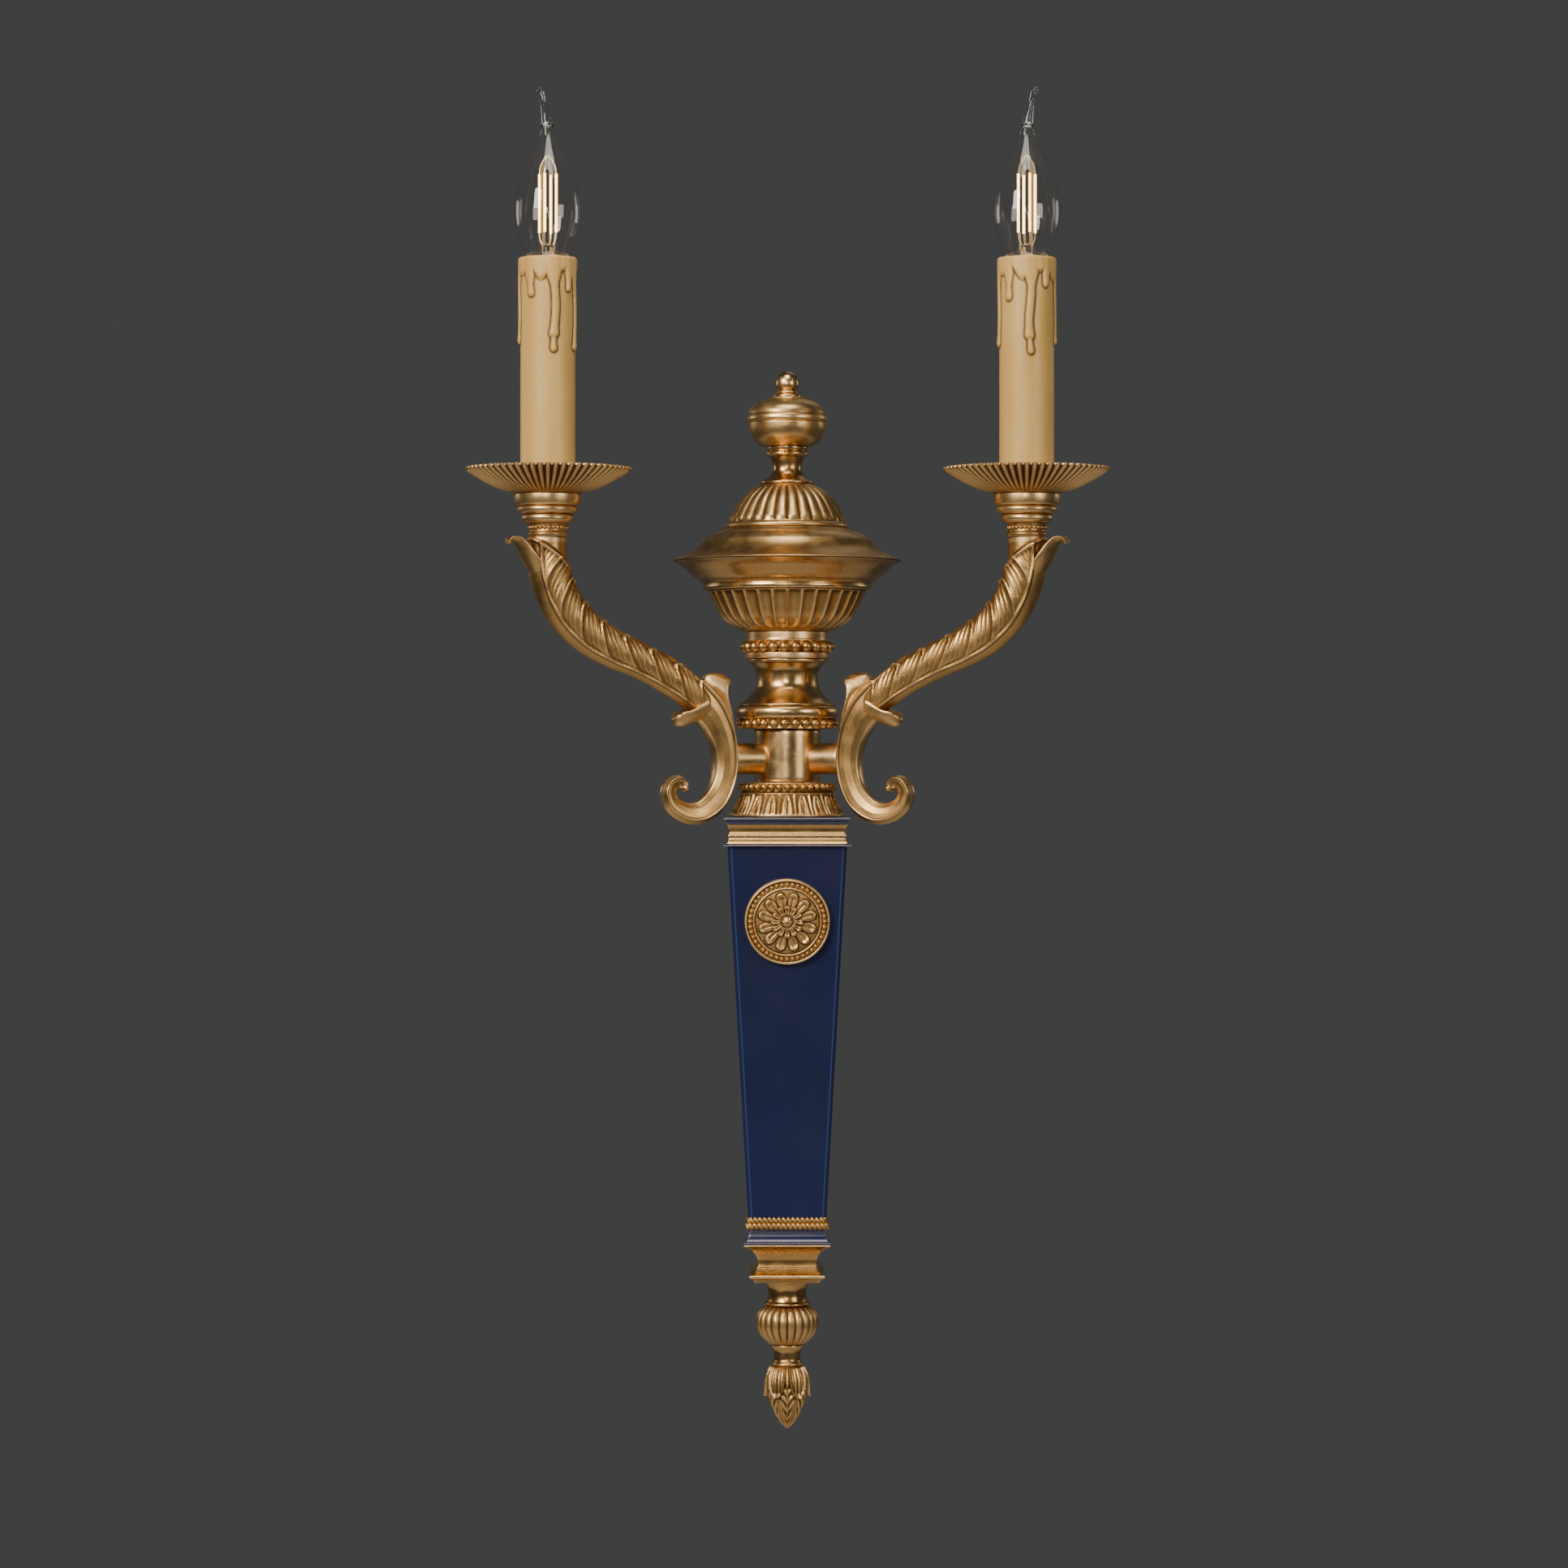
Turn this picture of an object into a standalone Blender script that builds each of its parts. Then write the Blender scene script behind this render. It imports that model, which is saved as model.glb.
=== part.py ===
"""Two-arm wall sconce with candle sleeves: every separate piece at its real size.

Sizes are in millimetres and become metres when a mesh is made. The wall is the plane y = 0, the
front is -Y, and z = 0 is the height of the arm bosses. The column is a stack of castings on one
vertical tie rod, which also clamps the tabs of the back plate. The back plate hangs by keyholes on
two studs of the wall bracket. Each arm lies in a vertical plane turned forward of the wall.
"""

import math

import bmesh
import bpy
from mathutils import Matrix, Vector

MM = 0.001

# Clearances
GAP = 0.3
THREAD_GAP = 0.3
WIRE_GAP = 0.8

# Column
AXIS_OUT = 40.0
BACK_CLEAR = 0.5
ROD_RADIUS = 4.0
CAST_WALL = 2.6
WEB = 3.0
HUB_RADIUS = 17.6
HUB_ABOVE = 15.5
HUB_BELOW = 12.2
ROD_IN_BALL = 4.6
ROD_IN_BUD = 10.0

# Square pieces below the hub
CAPITAL_HEIGHT = 15.2
CAPITAL_HALF = 33.9
PILASTER_LENGTH = 194.4
PILASTER_TOP_HALF = 31.3
PILASTER_BOTTOM_HALF = 20.6
PILASTER_WALL = 2.0
PILASTER_CHAMFER = 1.6
ROPE_HEIGHT = 5.8
ROPE_HALF = 22.3
PLINTH_HEIGHT = 7.8
PLINTH_HALF = 23.1
SCOTIA_HEIGHT = 20.3
SCOTIA_HALF = 23.1

# Medallion on the pilaster
MEDALLION_RADIUS = 22.5
MEDALLION_RIM = 5.6
MEDALLION_THICK = 3.4
MEDALLION_BELOW_CAPITAL = 38.8
MEDALLION_STUD = 1.8

# Wall side
BRACKET_HALF = 12.0
BRACKET_THICK = 2.0
BRACKET_TOP = 14.0
PLATE_HALF = 13.0
PLATE_THICK = 2.2
STUD_SHANK = 2.5
STUD_HEAD = 5.0
STUD_HEAD_THICK = 2.0
STUD_INSET = 64.0
KEYHOLE_DROP = 11.0
CABLE_HOLE = 8.0
CABLE_BELOW_CAPITAL = 12.0
SCREW_SLOT = 2.4
SCREW_SLOT_LENGTH = 10.0
TERMINAL_SIZE = (24.0, 11.0, 16.0)
TERMINAL_BELOW_CABLE = 20.0

# Arms, in the plane of the arm: reach from the column axis, and height
ARM_TURN = math.radians(28.0)
PAN_REACH = 139.8
BOSS_RADIUS = 8.2
BOSS_END = 33.0
ARM_STUD = 4.6
ARM_STUD_INNER = 9.7
ARM_STUD_OUTER = 36.0
ARM_NUT_RADIUS = 6.8
ARM_NUT_THICK = 2.4
WIRE_RADIUS = 1.6
WIRE_DROP_REACH = 9.0
JOINT_REACH = 54.5
JOINT_HEIGHT = 32.3
JOINT_SLOPE = math.radians(36.6)
SPIGOT_LENGTH = 8.0
BRANCH_TOP = 113.5

# Lamp stack on each arm
CUP_HEIGHT = 22.2
CUP_RADIUS = 17.3
PAN_RADIUS = 43.2
PAN_HEIGHT = 13.7
PAN_FLOOR = 2.4
PAN_WALL = 1.6
NIPPLE_RADIUS = 4.6
NIPPLE_BORE = 2.6
NIPPLE_IN_ARM = 9.0
PAN_NUT_RADIUS = 7.5
PAN_NUT_THICK = 3.0
SLEEVE_RADIUS = 14.15
SLEEVE_WALL = 1.2
SLEEVE_LENGTH = 118.1
HOLDER_LENGTH = 44.0
HOLDER_BELOW_SLEEVE = 8.1
HOLDER_SIDE_GAP = 0.75
HOLDER_FLOOR = 4.0
SOCKET_DEPTH = 26.0
CAP_RADIUS = 6.95
CAP_LENGTH = 28.0
CAP_WALL = 0.6
CAP_FLOOR = 16.5
SOCKET_GAP = 0.4
GLASS_WALL = 0.7
GLASS_IN_CAP = 10.5
LAMP_RADIUS = 17.7
FILAMENT_CIRCLE = 5.2
FILAMENT_RADIUS = 1.0
FILAMENT_COUNT = 4

# Facets of the round pieces
COARSE = 12
ROUND = 16
PAN_FACETS = 24
SWEPT = 12

BRASS = ("brass", (0.62, 0.42, 0.16), 1.0, 0.32)
ENAMEL = ("blue_enamel", (0.010, 0.016, 0.085), 0.0, 0.10)
STEEL = ("zinc_steel", (0.55, 0.56, 0.58), 1.0, 0.40)
WAX = ("candle_sleeve", (0.80, 0.62, 0.30), 0.0, 0.45)
PHENOLIC = ("phenolic", (0.03, 0.03, 0.03), 0.0, 0.45)
GLASS = ("lamp_glass", (0.95, 0.97, 1.0), 0.0, 0.02)
FILAMENT = ("filament", (1.0, 0.72, 0.30), 0.0, 0.40)
CABLE = ("cable", (0.05, 0.05, 0.05), 0.0, 0.55)

ROD_HOLE = ROD_RADIUS + GAP

# Castings above the hub, from the bottom: name, height, and an outline of (radius, share of the
# height) from the top down.
UPPER_STACK = (
    ("beaded_torus", 12.1, ((24.6, 1.0), (27.7, 0.72), (27.2, 0.5), (26.6, 0.36), (25.2, 0.0))),
    ("waisted_neck", 24.3, ((21.4, 1.0), (18.0, 0.87), (16.3, 0.60), (16.6, 0.42), (20.6, 0.17), (26.0, 0.0))),
    ("upper_bead_ring", 14.2, ((21.3, 1.0), (21.3, 0.66), (24.9, 0.52), (24.9, 0.34), (22.3, 0.22), (22.3, 0.0))),
    ("urn_bowl", 21.3, ((41.9, 1.0), (38.0, 0.62), (33.7, 0.31), (27.9, 0.11), (22.3, 0.0))),
    ("urn_cove", 15.4, ((60.5, 1.0), (56.0, 0.86), (49.5, 0.48), (45.1, 0.25), (44.2, 0.0))),
    ("urn_lid", 16.9, ((35.2, 1.0), (42.0, 0.76), (46.2, 0.47), (53.0, 0.20), (60.7, 0.05), (60.7, 0.0))),
    ("gadroon_dome", 23.2, ((14.8, 1.0), (22.6, 0.80), (28.4, 0.46), (31.3, 0.14), (33.0, 0.10), (33.0, 0.0))),
    ("neck_spool", 19.4, ((11.6, 1.0), (10.6, 0.78), (7.5, 0.45), (9.8, 0.24), (13.2, 0.18), (14.6, 0.0))),
    ("knob", 26.0, ((11.4, 1.0), (18.6, 0.81), (20.4, 0.68), (21.0, 0.58), (20.3, 0.44), (18.2, 0.19), (12.2, 0.0))),
    ("top_ball", 13.5, ((0.0, 1.0), (3.6, 0.92), (6.2, 0.54), (4.3, 0.27), (7.3, 0.14), (7.3, 0.0))),
)

# Castings below the scotia block, from the top.
FINIAL_STACK = (
    ("finial_neck", 12.5, ((11.4, 1.0), (10.1, 0.45), (12.2, 0.0))),
    ("finial_melon", 20.5, ((9.5, 1.0), (14.6, 0.80), (16.7, 0.55), (14.6, 0.25), (9.0, 0.0))),
    ("finial_spool", 10.9, ((8.4, 1.0), (7.1, 0.52), (7.9, 0.0))),
    ("finial_bud", 33.5, ((7.2, 1.0), (11.0, 0.83), (12.2, 0.68), (10.4, 0.45), (5.2, 0.12), (0.0, 0.0))),
)

# Middle line of the branch: reach, height, half width in the plane, half width across it.
BRANCH_LINE = (
    (74.7, 44.8, 9.2, 8.0),
    (88.3, 51.3, 9.6, 8.3),
    (103.7, 57.5, 10.3, 8.8),
    (117.2, 65.0, 11.0, 9.2),
    (127.8, 74.5, 11.2, 9.6),
    (134.6, 85.0, 11.0, 10.0),
    (138.6, 96.0, 10.6, 10.2),
)
BRANCH_WIDTH = 10.2

# Middle line of the scroll, from the calyx round to its eye, in the same order of values.
SCROLL_LINE = (
    (47.5, 27.0, 10.2, 8.8),
    (42.0, 18.5, 8.4, 8.6),
    (38.2, 8.0, 7.0, 8.4),
    (37.0, -3.0, 6.5, 7.8),
    (39.0, -14.0, 6.5, 7.0),
    (44.8, -23.5, 6.6, 6.4),
    (53.5, -28.6, 5.9, 5.8),
    (62.5, -27.8, 5.1, 5.3),
    (69.0, -23.0, 4.5, 4.9),
    (70.6, -16.8, 4.1, 4.6),
    (67.7, -12.6, 3.6, 4.4),
    (63.4, -12.6, 3.4, 4.3),
    (61.8, -15.6, 3.0, 4.2),
)
CALYX_TOP_LEAF = ((45.0, 31.0, 4.6, 6.5), (41.6, 37.0, 3.0, 5.6), (39.8, 42.0, 1.8, 4.0), (37.8, 45.4, 1.2, 2.4))
CALYX_LOW_LEAF = ((54.0, 24.0, 3.6, 6.0), (59.5, 20.6, 2.4, 5.0), (64.0, 19.6, 1.6, 3.6), (67.6, 21.0, 1.1, 2.2))
BRANCH_LEAF_TIP = ((146.0, 97.0, 4.2, 6.4), (151.0, 106.0, 2.8, 5.2), (155.6, 111.8, 1.8, 4.0), (160.6, 110.6, 1.2, 2.6))
WIRE_IN_SCROLL = ((48.0, 27.3), (44.3, 20.5), (42.9, 13.5), (42.0, 7.6), (40.0, 3.2), (36.8, 0.4))

# Lamp envelope: height above the top of the sleeve, radius, and lean of the bent tip.
LAMP_OUTLINE = (
    (-3.6, 8.8, 0.0),
    (0.2, 10.9, 0.0),
    (5.5, 13.3, 0.0),
    (11.7, 15.4, 0.0),
    (18.0, 17.1, 0.0),
    (24.6, LAMP_RADIUS, 0.0),
    (30.9, 17.1, 0.0),
    (37.1, 15.8, 0.0),
    (43.6, 13.7, 0.0),
    (50.0, 11.2, 0.0),
    (56.3, 7.9, 0.0),
    (62.7, 5.0, 0.0),
    (69.2, 3.0, 0.3),
    (75.5, 2.0, 1.2),
    (82.0, 1.5, 2.8),
    (85.6, 1.7, 4.2),
    (87.2, 1.7, 4.7),
    (88.7, 0.7, 5.1),
)
NECK_RADIUS = 6.0


def clear_scene():
    """Removes the objects that the scene starts with."""
    for old in list(bpy.data.objects):
        bpy.data.objects.remove(old, do_unlink=True)


def new_collection(name):
    """A collection linked to the scene."""
    made = bpy.data.collections.new(name)
    bpy.context.scene.collection.children.link(made)
    return made


clear_scene()
PARTS = new_collection("wall_sconce")
CUTTERS = new_collection("cutters")


def material(finish):
    """The material for one of the finishes above, made once."""
    name, colour, metallic, roughness = finish
    made = bpy.data.materials.get(name)
    if made is None:
        made = bpy.data.materials.new(name)
        made.use_nodes = True
        shader = made.node_tree.nodes["Principled BSDF"]
        shader.inputs["Base Color"].default_value = (*colour, 1.0)
        shader.inputs["Metallic"].default_value = metallic
        shader.inputs["Roughness"].default_value = roughness
    return made


def add_object(name, data, finish, parent=None):
    """An object in the sconce's collection, or a cutter where it has no finish."""
    obj = bpy.data.objects.new(name, data)
    if finish is None:
        CUTTERS.objects.link(obj)
        obj.hide_render = True
        obj.display_type = "WIRE"
    else:
        PARTS.objects.link(obj)
        data.materials.append(material(finish))
    obj.parent = parent
    return obj


def place(obj, x=0.0, y=0.0, z=0.0, turn=(0.0, 0.0, 0.0)):
    """Sets an object's location in millimetres and its rotation in radians."""
    obj.location = Vector((x, y, z)) * MM
    obj.rotation_euler = turn
    return obj


def mesh_of(name, build):
    """A mesh filled by build(bmesh), scaled from millimetres."""
    shape = bmesh.new()
    build(shape)
    bmesh.ops.scale(shape, vec=(MM, MM, MM), verts=shape.verts)
    mesh = bpy.data.meshes.new(name)
    shape.to_mesh(mesh)
    shape.free()
    return mesh


def turned(name, profile, finish, closed=False, steps=ROUND, parent=None):
    """A turned piece about Z. The profile of (radius, z) runs down the outer side."""

    def build(shape):
        points = [shape.verts.new((radius, 0.0, z)) for radius, z in profile]
        for start, end in zip(points, points[1:]):
            shape.edges.new((start, end))
        if closed:
            shape.edges.new((points[-1], points[0]))

    obj = add_object(name, mesh_of(name, build), finish, parent)
    screw = obj.modifiers.new("Turn", "SCREW")
    screw.steps = steps
    screw.render_steps = steps
    screw.use_merge_vertices = True
    screw.merge_threshold = 0.00001
    screw.use_smooth_shade = True
    return obj


def box(name, size, centre, finish, parent=None):
    """A box of the given size and centre."""

    def build(shape):
        bmesh.ops.create_cube(shape, size=1.0)
        bmesh.ops.scale(shape, vec=size, verts=shape.verts)
        bmesh.ops.translate(shape, vec=centre, verts=shape.verts)

    return add_object(name, mesh_of(name, build), finish, parent)


def cylinder(name, radius, start, end, finish, steps=ROUND, parent=None):
    """A cylinder, or a hexagon with six steps, from one point to another."""
    start = Vector(start)
    span = Vector(end) - start

    def build(shape):
        bmesh.ops.create_cone(
            shape, cap_ends=True, segments=steps, radius1=radius, radius2=radius, depth=span.length
        )
        turn = span.to_track_quat("Z", "Y").to_matrix().to_4x4()
        middle = Matrix.Translation(start + span / 2.0)
        bmesh.ops.transform(shape, matrix=middle @ turn, verts=shape.verts)

    return add_object(name, mesh_of(name, build), finish, parent)


def lofted(name, rings, finish, parent=None):
    """A closed body through rings of as many points each, with flat ends."""

    def build(shape):
        made = [[shape.verts.new(point) for point in ring] for ring in rings]
        count = len(made[0])
        for lower, upper in zip(made, made[1:]):
            for index in range(count):
                after = (index + 1) % count
                shape.faces.new((lower[index], lower[after], upper[after], upper[index]))
        shape.faces.new(list(reversed(made[0])))
        shape.faces.new(made[-1])
        bmesh.ops.recalc_face_normals(shape, faces=shape.faces)

    return add_object(name, mesh_of(name, build), finish, parent)


def swept(name, stations, finish, sides=SWEPT, parent=None):
    """A closed body along a line in the plane of an arm: (reach, height, half width, half depth)."""
    rings = []
    for index, (reach, height, wide, deep) in enumerate(stations):
        before = stations[max(index - 1, 0)]
        after = stations[min(index + 1, len(stations) - 1)]
        along = Vector((after[0] - before[0], after[1] - before[1])).normalized()
        ring = []
        for step in range(sides):
            angle = 2.0 * math.pi * step / sides
            across = wide * math.cos(angle)
            ring.append((reach - along.y * across, deep * math.sin(angle), height + along.x * across))
        rings.append(ring)
    return lofted(name, rings, finish, parent)


def smooth_line(points, steps):
    """Points on a smooth curve through the given ones, with steps to each stretch."""
    line = [Vector(point) for point in points]
    smooth = []
    for index in range(len(line) - 1):
        first = line[max(index - 1, 0)]
        start, end = line[index], line[index + 1]
        last = line[min(index + 2, len(line) - 1)]
        for step in range(steps):
            t = step / steps
            smooth.append(
                0.5
                * (
                    2.0 * start
                    + (end - first) * t
                    + (2.0 * first - 5.0 * start + 4.0 * end - last) * t**2
                    + (3.0 * start - first - 3.0 * end + last) * t**3
                )
            )
    return smooth + [line[-1]]


def boolean(obj, other, operation, solver="EXACT"):
    """Cuts an object with another, or joins it to another."""
    change = obj.modifiers.new(other.name, "BOOLEAN")
    change.operation = operation
    change.solver = solver
    change.object = other


def cut(obj, *cutters):
    """Takes each cutter away from the object."""
    for cutter in cutters:
        boolean(obj, cutter, "DIFFERENCE")
    return obj


def join(obj, *others):
    """Adds each helper shape to the object."""
    for other in others:
        boolean(obj, other, "UNION")
    return obj


def cast_profile(outline, bottom, height, wall=CAST_WALL):
    """Closed profile of a hollow casting: a web with the rod hole on top, and open below."""
    outer = [(radius, bottom + share * height) for radius, share in outline]
    under_web = bottom + height - WEB
    inner = [(max(radius - wall, ROD_HOLE), z) for radius, z in reversed(outer) if z < under_web - GAP]
    inner.append((inner[-1][0], under_web))
    if inner[-1][0] > ROD_HOLE:
        inner.append((ROD_HOLE, under_web))
    inner.append((ROD_HOLE, bottom + height))
    return outer + inner


def solid_profile(outline, bottom, height):
    """Closed profile of a slim casting with the rod hole right through."""
    outer = [(radius, bottom + share * height) for radius, share in outline]
    return outer + [(ROD_HOLE, bottom), (ROD_HOLE, bottom + height)]


def capped_profile(outline, bottom, height, rod_end, tip_up):
    """Profile of an end casting with a blind rod hole."""
    outer = [(radius, bottom + share * height) for radius, share in outline]
    if tip_up:
        return outer + [(ROD_HOLE, bottom), (ROD_HOLE, rod_end), (0.0, rod_end)]
    return [(0.0, rod_end), (ROD_HOLE, rod_end), (ROD_HOLE, bottom + height)] + outer


def stand_on_axis(obj):
    """Puts a piece that is modelled about Z on the column's axis."""
    return place(obj, y=-AXIS_OUT)


# --- Levels that follow from the sizes ---------------------------------------------------------

COLLAR_HEIGHT = 18.1
COLLAR_TOP = -HUB_BELOW - GAP
CAPITAL_TOP = COLLAR_TOP - COLLAR_HEIGHT - GAP
PILASTER_TOP = CAPITAL_TOP - CAPITAL_HEIGHT - GAP
ROPE_TOP = PILASTER_TOP - PILASTER_LENGTH - GAP
PLINTH_TOP = ROPE_TOP - ROPE_HEIGHT - GAP
SCOTIA_TOP = PLINTH_TOP - PLINTH_HEIGHT - GAP
FINIAL_TOP = SCOTIA_TOP - SCOTIA_HEIGHT - GAP
PLATE_TOP = CAPITAL_TOP - WEB - GAP
PLATE_BOTTOM = SCOTIA_TOP + GAP
PLATE_BACK = BRACKET_THICK + 0.4
PLATE_FRONT = PLATE_BACK + PLATE_THICK
CABLE_Z = PILASTER_TOP - CABLE_BELOW_CAPITAL
STUD_LEVELS = (PILASTER_TOP - STUD_INSET, ROPE_TOP + STUD_INSET)

CUP_BOTTOM = BRANCH_TOP + GAP
CUP_TOP = CUP_BOTTOM + CUP_HEIGHT
PAN_BOTTOM = CUP_TOP + GAP
PAN_SEAT = PAN_BOTTOM + PAN_FLOOR + GAP
SLEEVE_TOP = PAN_SEAT + SLEEVE_LENGTH
HOLDER_TOP = SLEEVE_TOP - HOLDER_BELOW_SLEEVE
HOLDER_BOTTOM = HOLDER_TOP - HOLDER_LENGTH
SOCKET_FLOOR = HOLDER_TOP - SOCKET_DEPTH
NIPPLE_TOP = SOCKET_FLOOR - HOLDER_FLOOR - GAP
CAP_BOTTOM = SOCKET_FLOOR + GAP
CAP_TOP = CAP_BOTTOM + CAP_LENGTH
HOLDER_RADIUS = SLEEVE_RADIUS - SLEEVE_WALL - HOLDER_SIDE_GAP
WIRE_BORE = WIRE_RADIUS + WIRE_GAP


# --- Column ------------------------------------------------------------------------------------


def wall_plane_cutter():
    """Takes off everything behind the flat backs of the wide castings."""
    return box("wall_plane", (200.0, 60.0, 400.0), (0.0, 30.0 - BACK_CLEAR, 60.0), None)


def make_upper_stack(wall_plane):
    """The turned castings above the hub. Returns the level of the rod's top end."""
    bottom = HUB_ABOVE + GAP
    for name, height, outline in UPPER_STACK:
        widest = max(radius for radius, _ in outline)
        if name == "top_ball":
            rod_top = bottom + ROD_IN_BALL
            profile = capped_profile(outline, bottom, height, rod_top + GAP, True)
            piece = turned(name, profile, BRASS)
        elif widest < 4.0 * ROD_HOLE and name != "waisted_neck":
            piece = turned(name, solid_profile(outline, bottom, height), BRASS, closed=True)
        else:
            piece = turned(name, cast_profile(outline, bottom, height), BRASS, closed=True)
        stand_on_axis(piece)
        if widest > AXIS_OUT - BACK_CLEAR:
            cut(piece, wall_plane)
        bottom += height + GAP
    return rod_top


def make_finial():
    """The turned castings under the scotia block. Returns the level of the rod's bottom end."""
    top = FINIAL_TOP
    for name, height, outline in FINIAL_STACK:
        bottom = top - height
        if name == "finial_bud":
            rod_bottom = top - ROD_IN_BUD
            profile = capped_profile(outline, bottom, height, rod_bottom - GAP, False)
            piece = turned(name, profile, BRASS)
        else:
            piece = turned(name, solid_profile(outline, bottom, height), BRASS, closed=True)
        stand_on_axis(piece)
        top = bottom - GAP
    return rod_bottom


def wire_way_cutters():
    """Upright holes for the two wires, through the collar, the capital and the plate's tab."""
    ways = []
    for side in (-1.0, 1.0):
        x = side * WIRE_DROP_REACH * math.cos(ARM_TURN)
        y = -AXIS_OUT - WIRE_DROP_REACH * math.sin(ARM_TURN)
        low = (x, y, PLATE_TOP - PLATE_THICK - 5.0)
        ways.append(cylinder("wire_way", WIRE_BORE + GAP, low, (x, y, COLLAR_TOP + 5.0), None, COARSE))
    return ways


def make_hub(ways):
    """The plain drum that the arms bolt to, and the leaf collar under it."""
    inner = HUB_RADIUS - WEB
    profile = [(HUB_RADIUS, HUB_ABOVE), (HUB_RADIUS, -HUB_BELOW), (inner, -HUB_BELOW), (inner, HUB_ABOVE)]
    drum = stand_on_axis(turned("hub_drum", profile, BRASS, closed=True))
    for side in (-1.0, 1.0):
        out = Vector((side * math.cos(ARM_TURN), -math.sin(ARM_TURN), 0.0))
        centre = Vector((0.0, -AXIS_OUT, 0.0))
        start = centre + out * (inner - 4.0)
        end = centre + out * (HUB_RADIUS + 4.0)
        cut(drum, cylinder("arm_hole", ARM_STUD + THREAD_GAP, start, end, None))
    outline = ((24.0, 1.0), (26.6, 0.86), (25.3, 0.66), (26.2, 0.38), (30.5, 0.04), (30.5, 0.0))
    bottom = COLLAR_TOP - COLLAR_HEIGHT
    collar = turned("leaf_collar", cast_profile(outline, bottom, COLLAR_HEIGHT), BRASS, closed=True)
    cut(stand_on_axis(collar), *ways)


def three_sided(name, levels, finish, web):
    """A square casting with mitred front corners, a flat back and a hollow that opens backwards.

    The levels are (half width, z) from the top down. With web the top is closed by a web with the
    rod hole, and otherwise the piece is an open frame.
    """
    rings = []
    for half, z in levels:
        front = -AXIS_OUT - half
        rings.append(
            [(-half, -BACK_CLEAR, z), (-half, front, z), (half, front, z), (half, -BACK_CLEAR, z)]
        )
    piece = lofted(name, rings, finish)
    top, bottom = levels[0][1], levels[-1][1]
    inner = min(half for half, _ in levels) - CAST_WALL
    low = bottom - 5.0
    high = top - WEB if web else top + 5.0
    depth = AXIS_OUT + inner + 20.0
    centre = (0.0, 20.0 - depth / 2.0, (low + high) / 2.0)
    cut(piece, box(f"{name}_hollow", (2.0 * inner, depth, high - low), centre, None))
    if web:
        cut(piece, cylinder(f"{name}_rod", ROD_HOLE, (0, -AXIS_OUT, low), (0, -AXIS_OUT, top + 5.0), None))
    return piece


def make_square_castings(ways):
    """Capital, rope band, plinth moulding and scotia block."""
    top = CAPITAL_TOP
    height = CAPITAL_HEIGHT
    levels = [
        (CAPITAL_HALF - 0.7, top),
        (CAPITAL_HALF - 0.7, top - 0.13 * height),
        (CAPITAL_HALF - 3.4, top - 0.30 * height),
        (CAPITAL_HALF - 3.2, top - 0.55 * height),
        (CAPITAL_HALF, top - 0.85 * height),
        (CAPITAL_HALF, top - height),
    ]
    half, deep = BRACKET_HALF + GAP, BRACKET_THICK + GAP
    low, high = top - height - 5.0, top + 5.0
    size = (2.0 * half, 2.0 * deep, high - low)
    bracket_way = box("bracket_way", size, (0.0, 0.0, (low + high) / 2.0), None)
    cut(three_sided("capital", levels, BRASS, True), bracket_way, *ways)
    top = ROPE_TOP
    levels = [
        (ROPE_HALF - 1.0, top),
        (ROPE_HALF - 1.0, top - 0.45 * ROPE_HEIGHT),
        (ROPE_HALF, top - 0.60 * ROPE_HEIGHT),
        (ROPE_HALF, top - ROPE_HEIGHT),
    ]
    three_sided("rope_band", levels, BRASS, False)
    top = PLINTH_TOP
    levels = [
        (PLINTH_HALF - 2.8, top),
        (PLINTH_HALF - 3.2, top - 0.40 * PLINTH_HEIGHT),
        (PLINTH_HALF, top - 0.90 * PLINTH_HEIGHT),
        (PLINTH_HALF, top - PLINTH_HEIGHT),
    ]
    three_sided("plinth_moulding", levels, ENAMEL, False)
    top = SCOTIA_TOP
    height = SCOTIA_HEIGHT
    levels = [
        (SCOTIA_HALF, top),
        (SCOTIA_HALF - 0.6, top - 0.12 * height),
        (SCOTIA_HALF - 7.2, top - 0.36 * height),
        (SCOTIA_HALF - 7.4, top - 0.60 * height),
        (SCOTIA_HALF - 3.0, top - 0.78 * height),
        (SCOTIA_HALF - 3.0, top - 0.86 * height),
        (SCOTIA_HALF - 5.8, top - 0.88 * height),
        (SCOTIA_HALF - 5.8, top - height),
    ]
    three_sided("scotia_block", levels, BRASS, True)


def medallion_place():
    """Where the medallion's back lies on the pilaster, and the rotation that faces it forward."""
    lean = math.atan2(PILASTER_TOP_HALF - PILASTER_BOTTOM_HALF, PILASTER_LENGTH)
    z = PILASTER_TOP - MEDALLION_BELOW_CAPITAL
    half = PILASTER_TOP_HALF - MEDALLION_BELOW_CAPITAL * math.tan(lean)
    return (0.0, -AXIS_OUT - half - GAP, z), (math.pi / 2.0 + lean, 0.0, 0.0)


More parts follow.
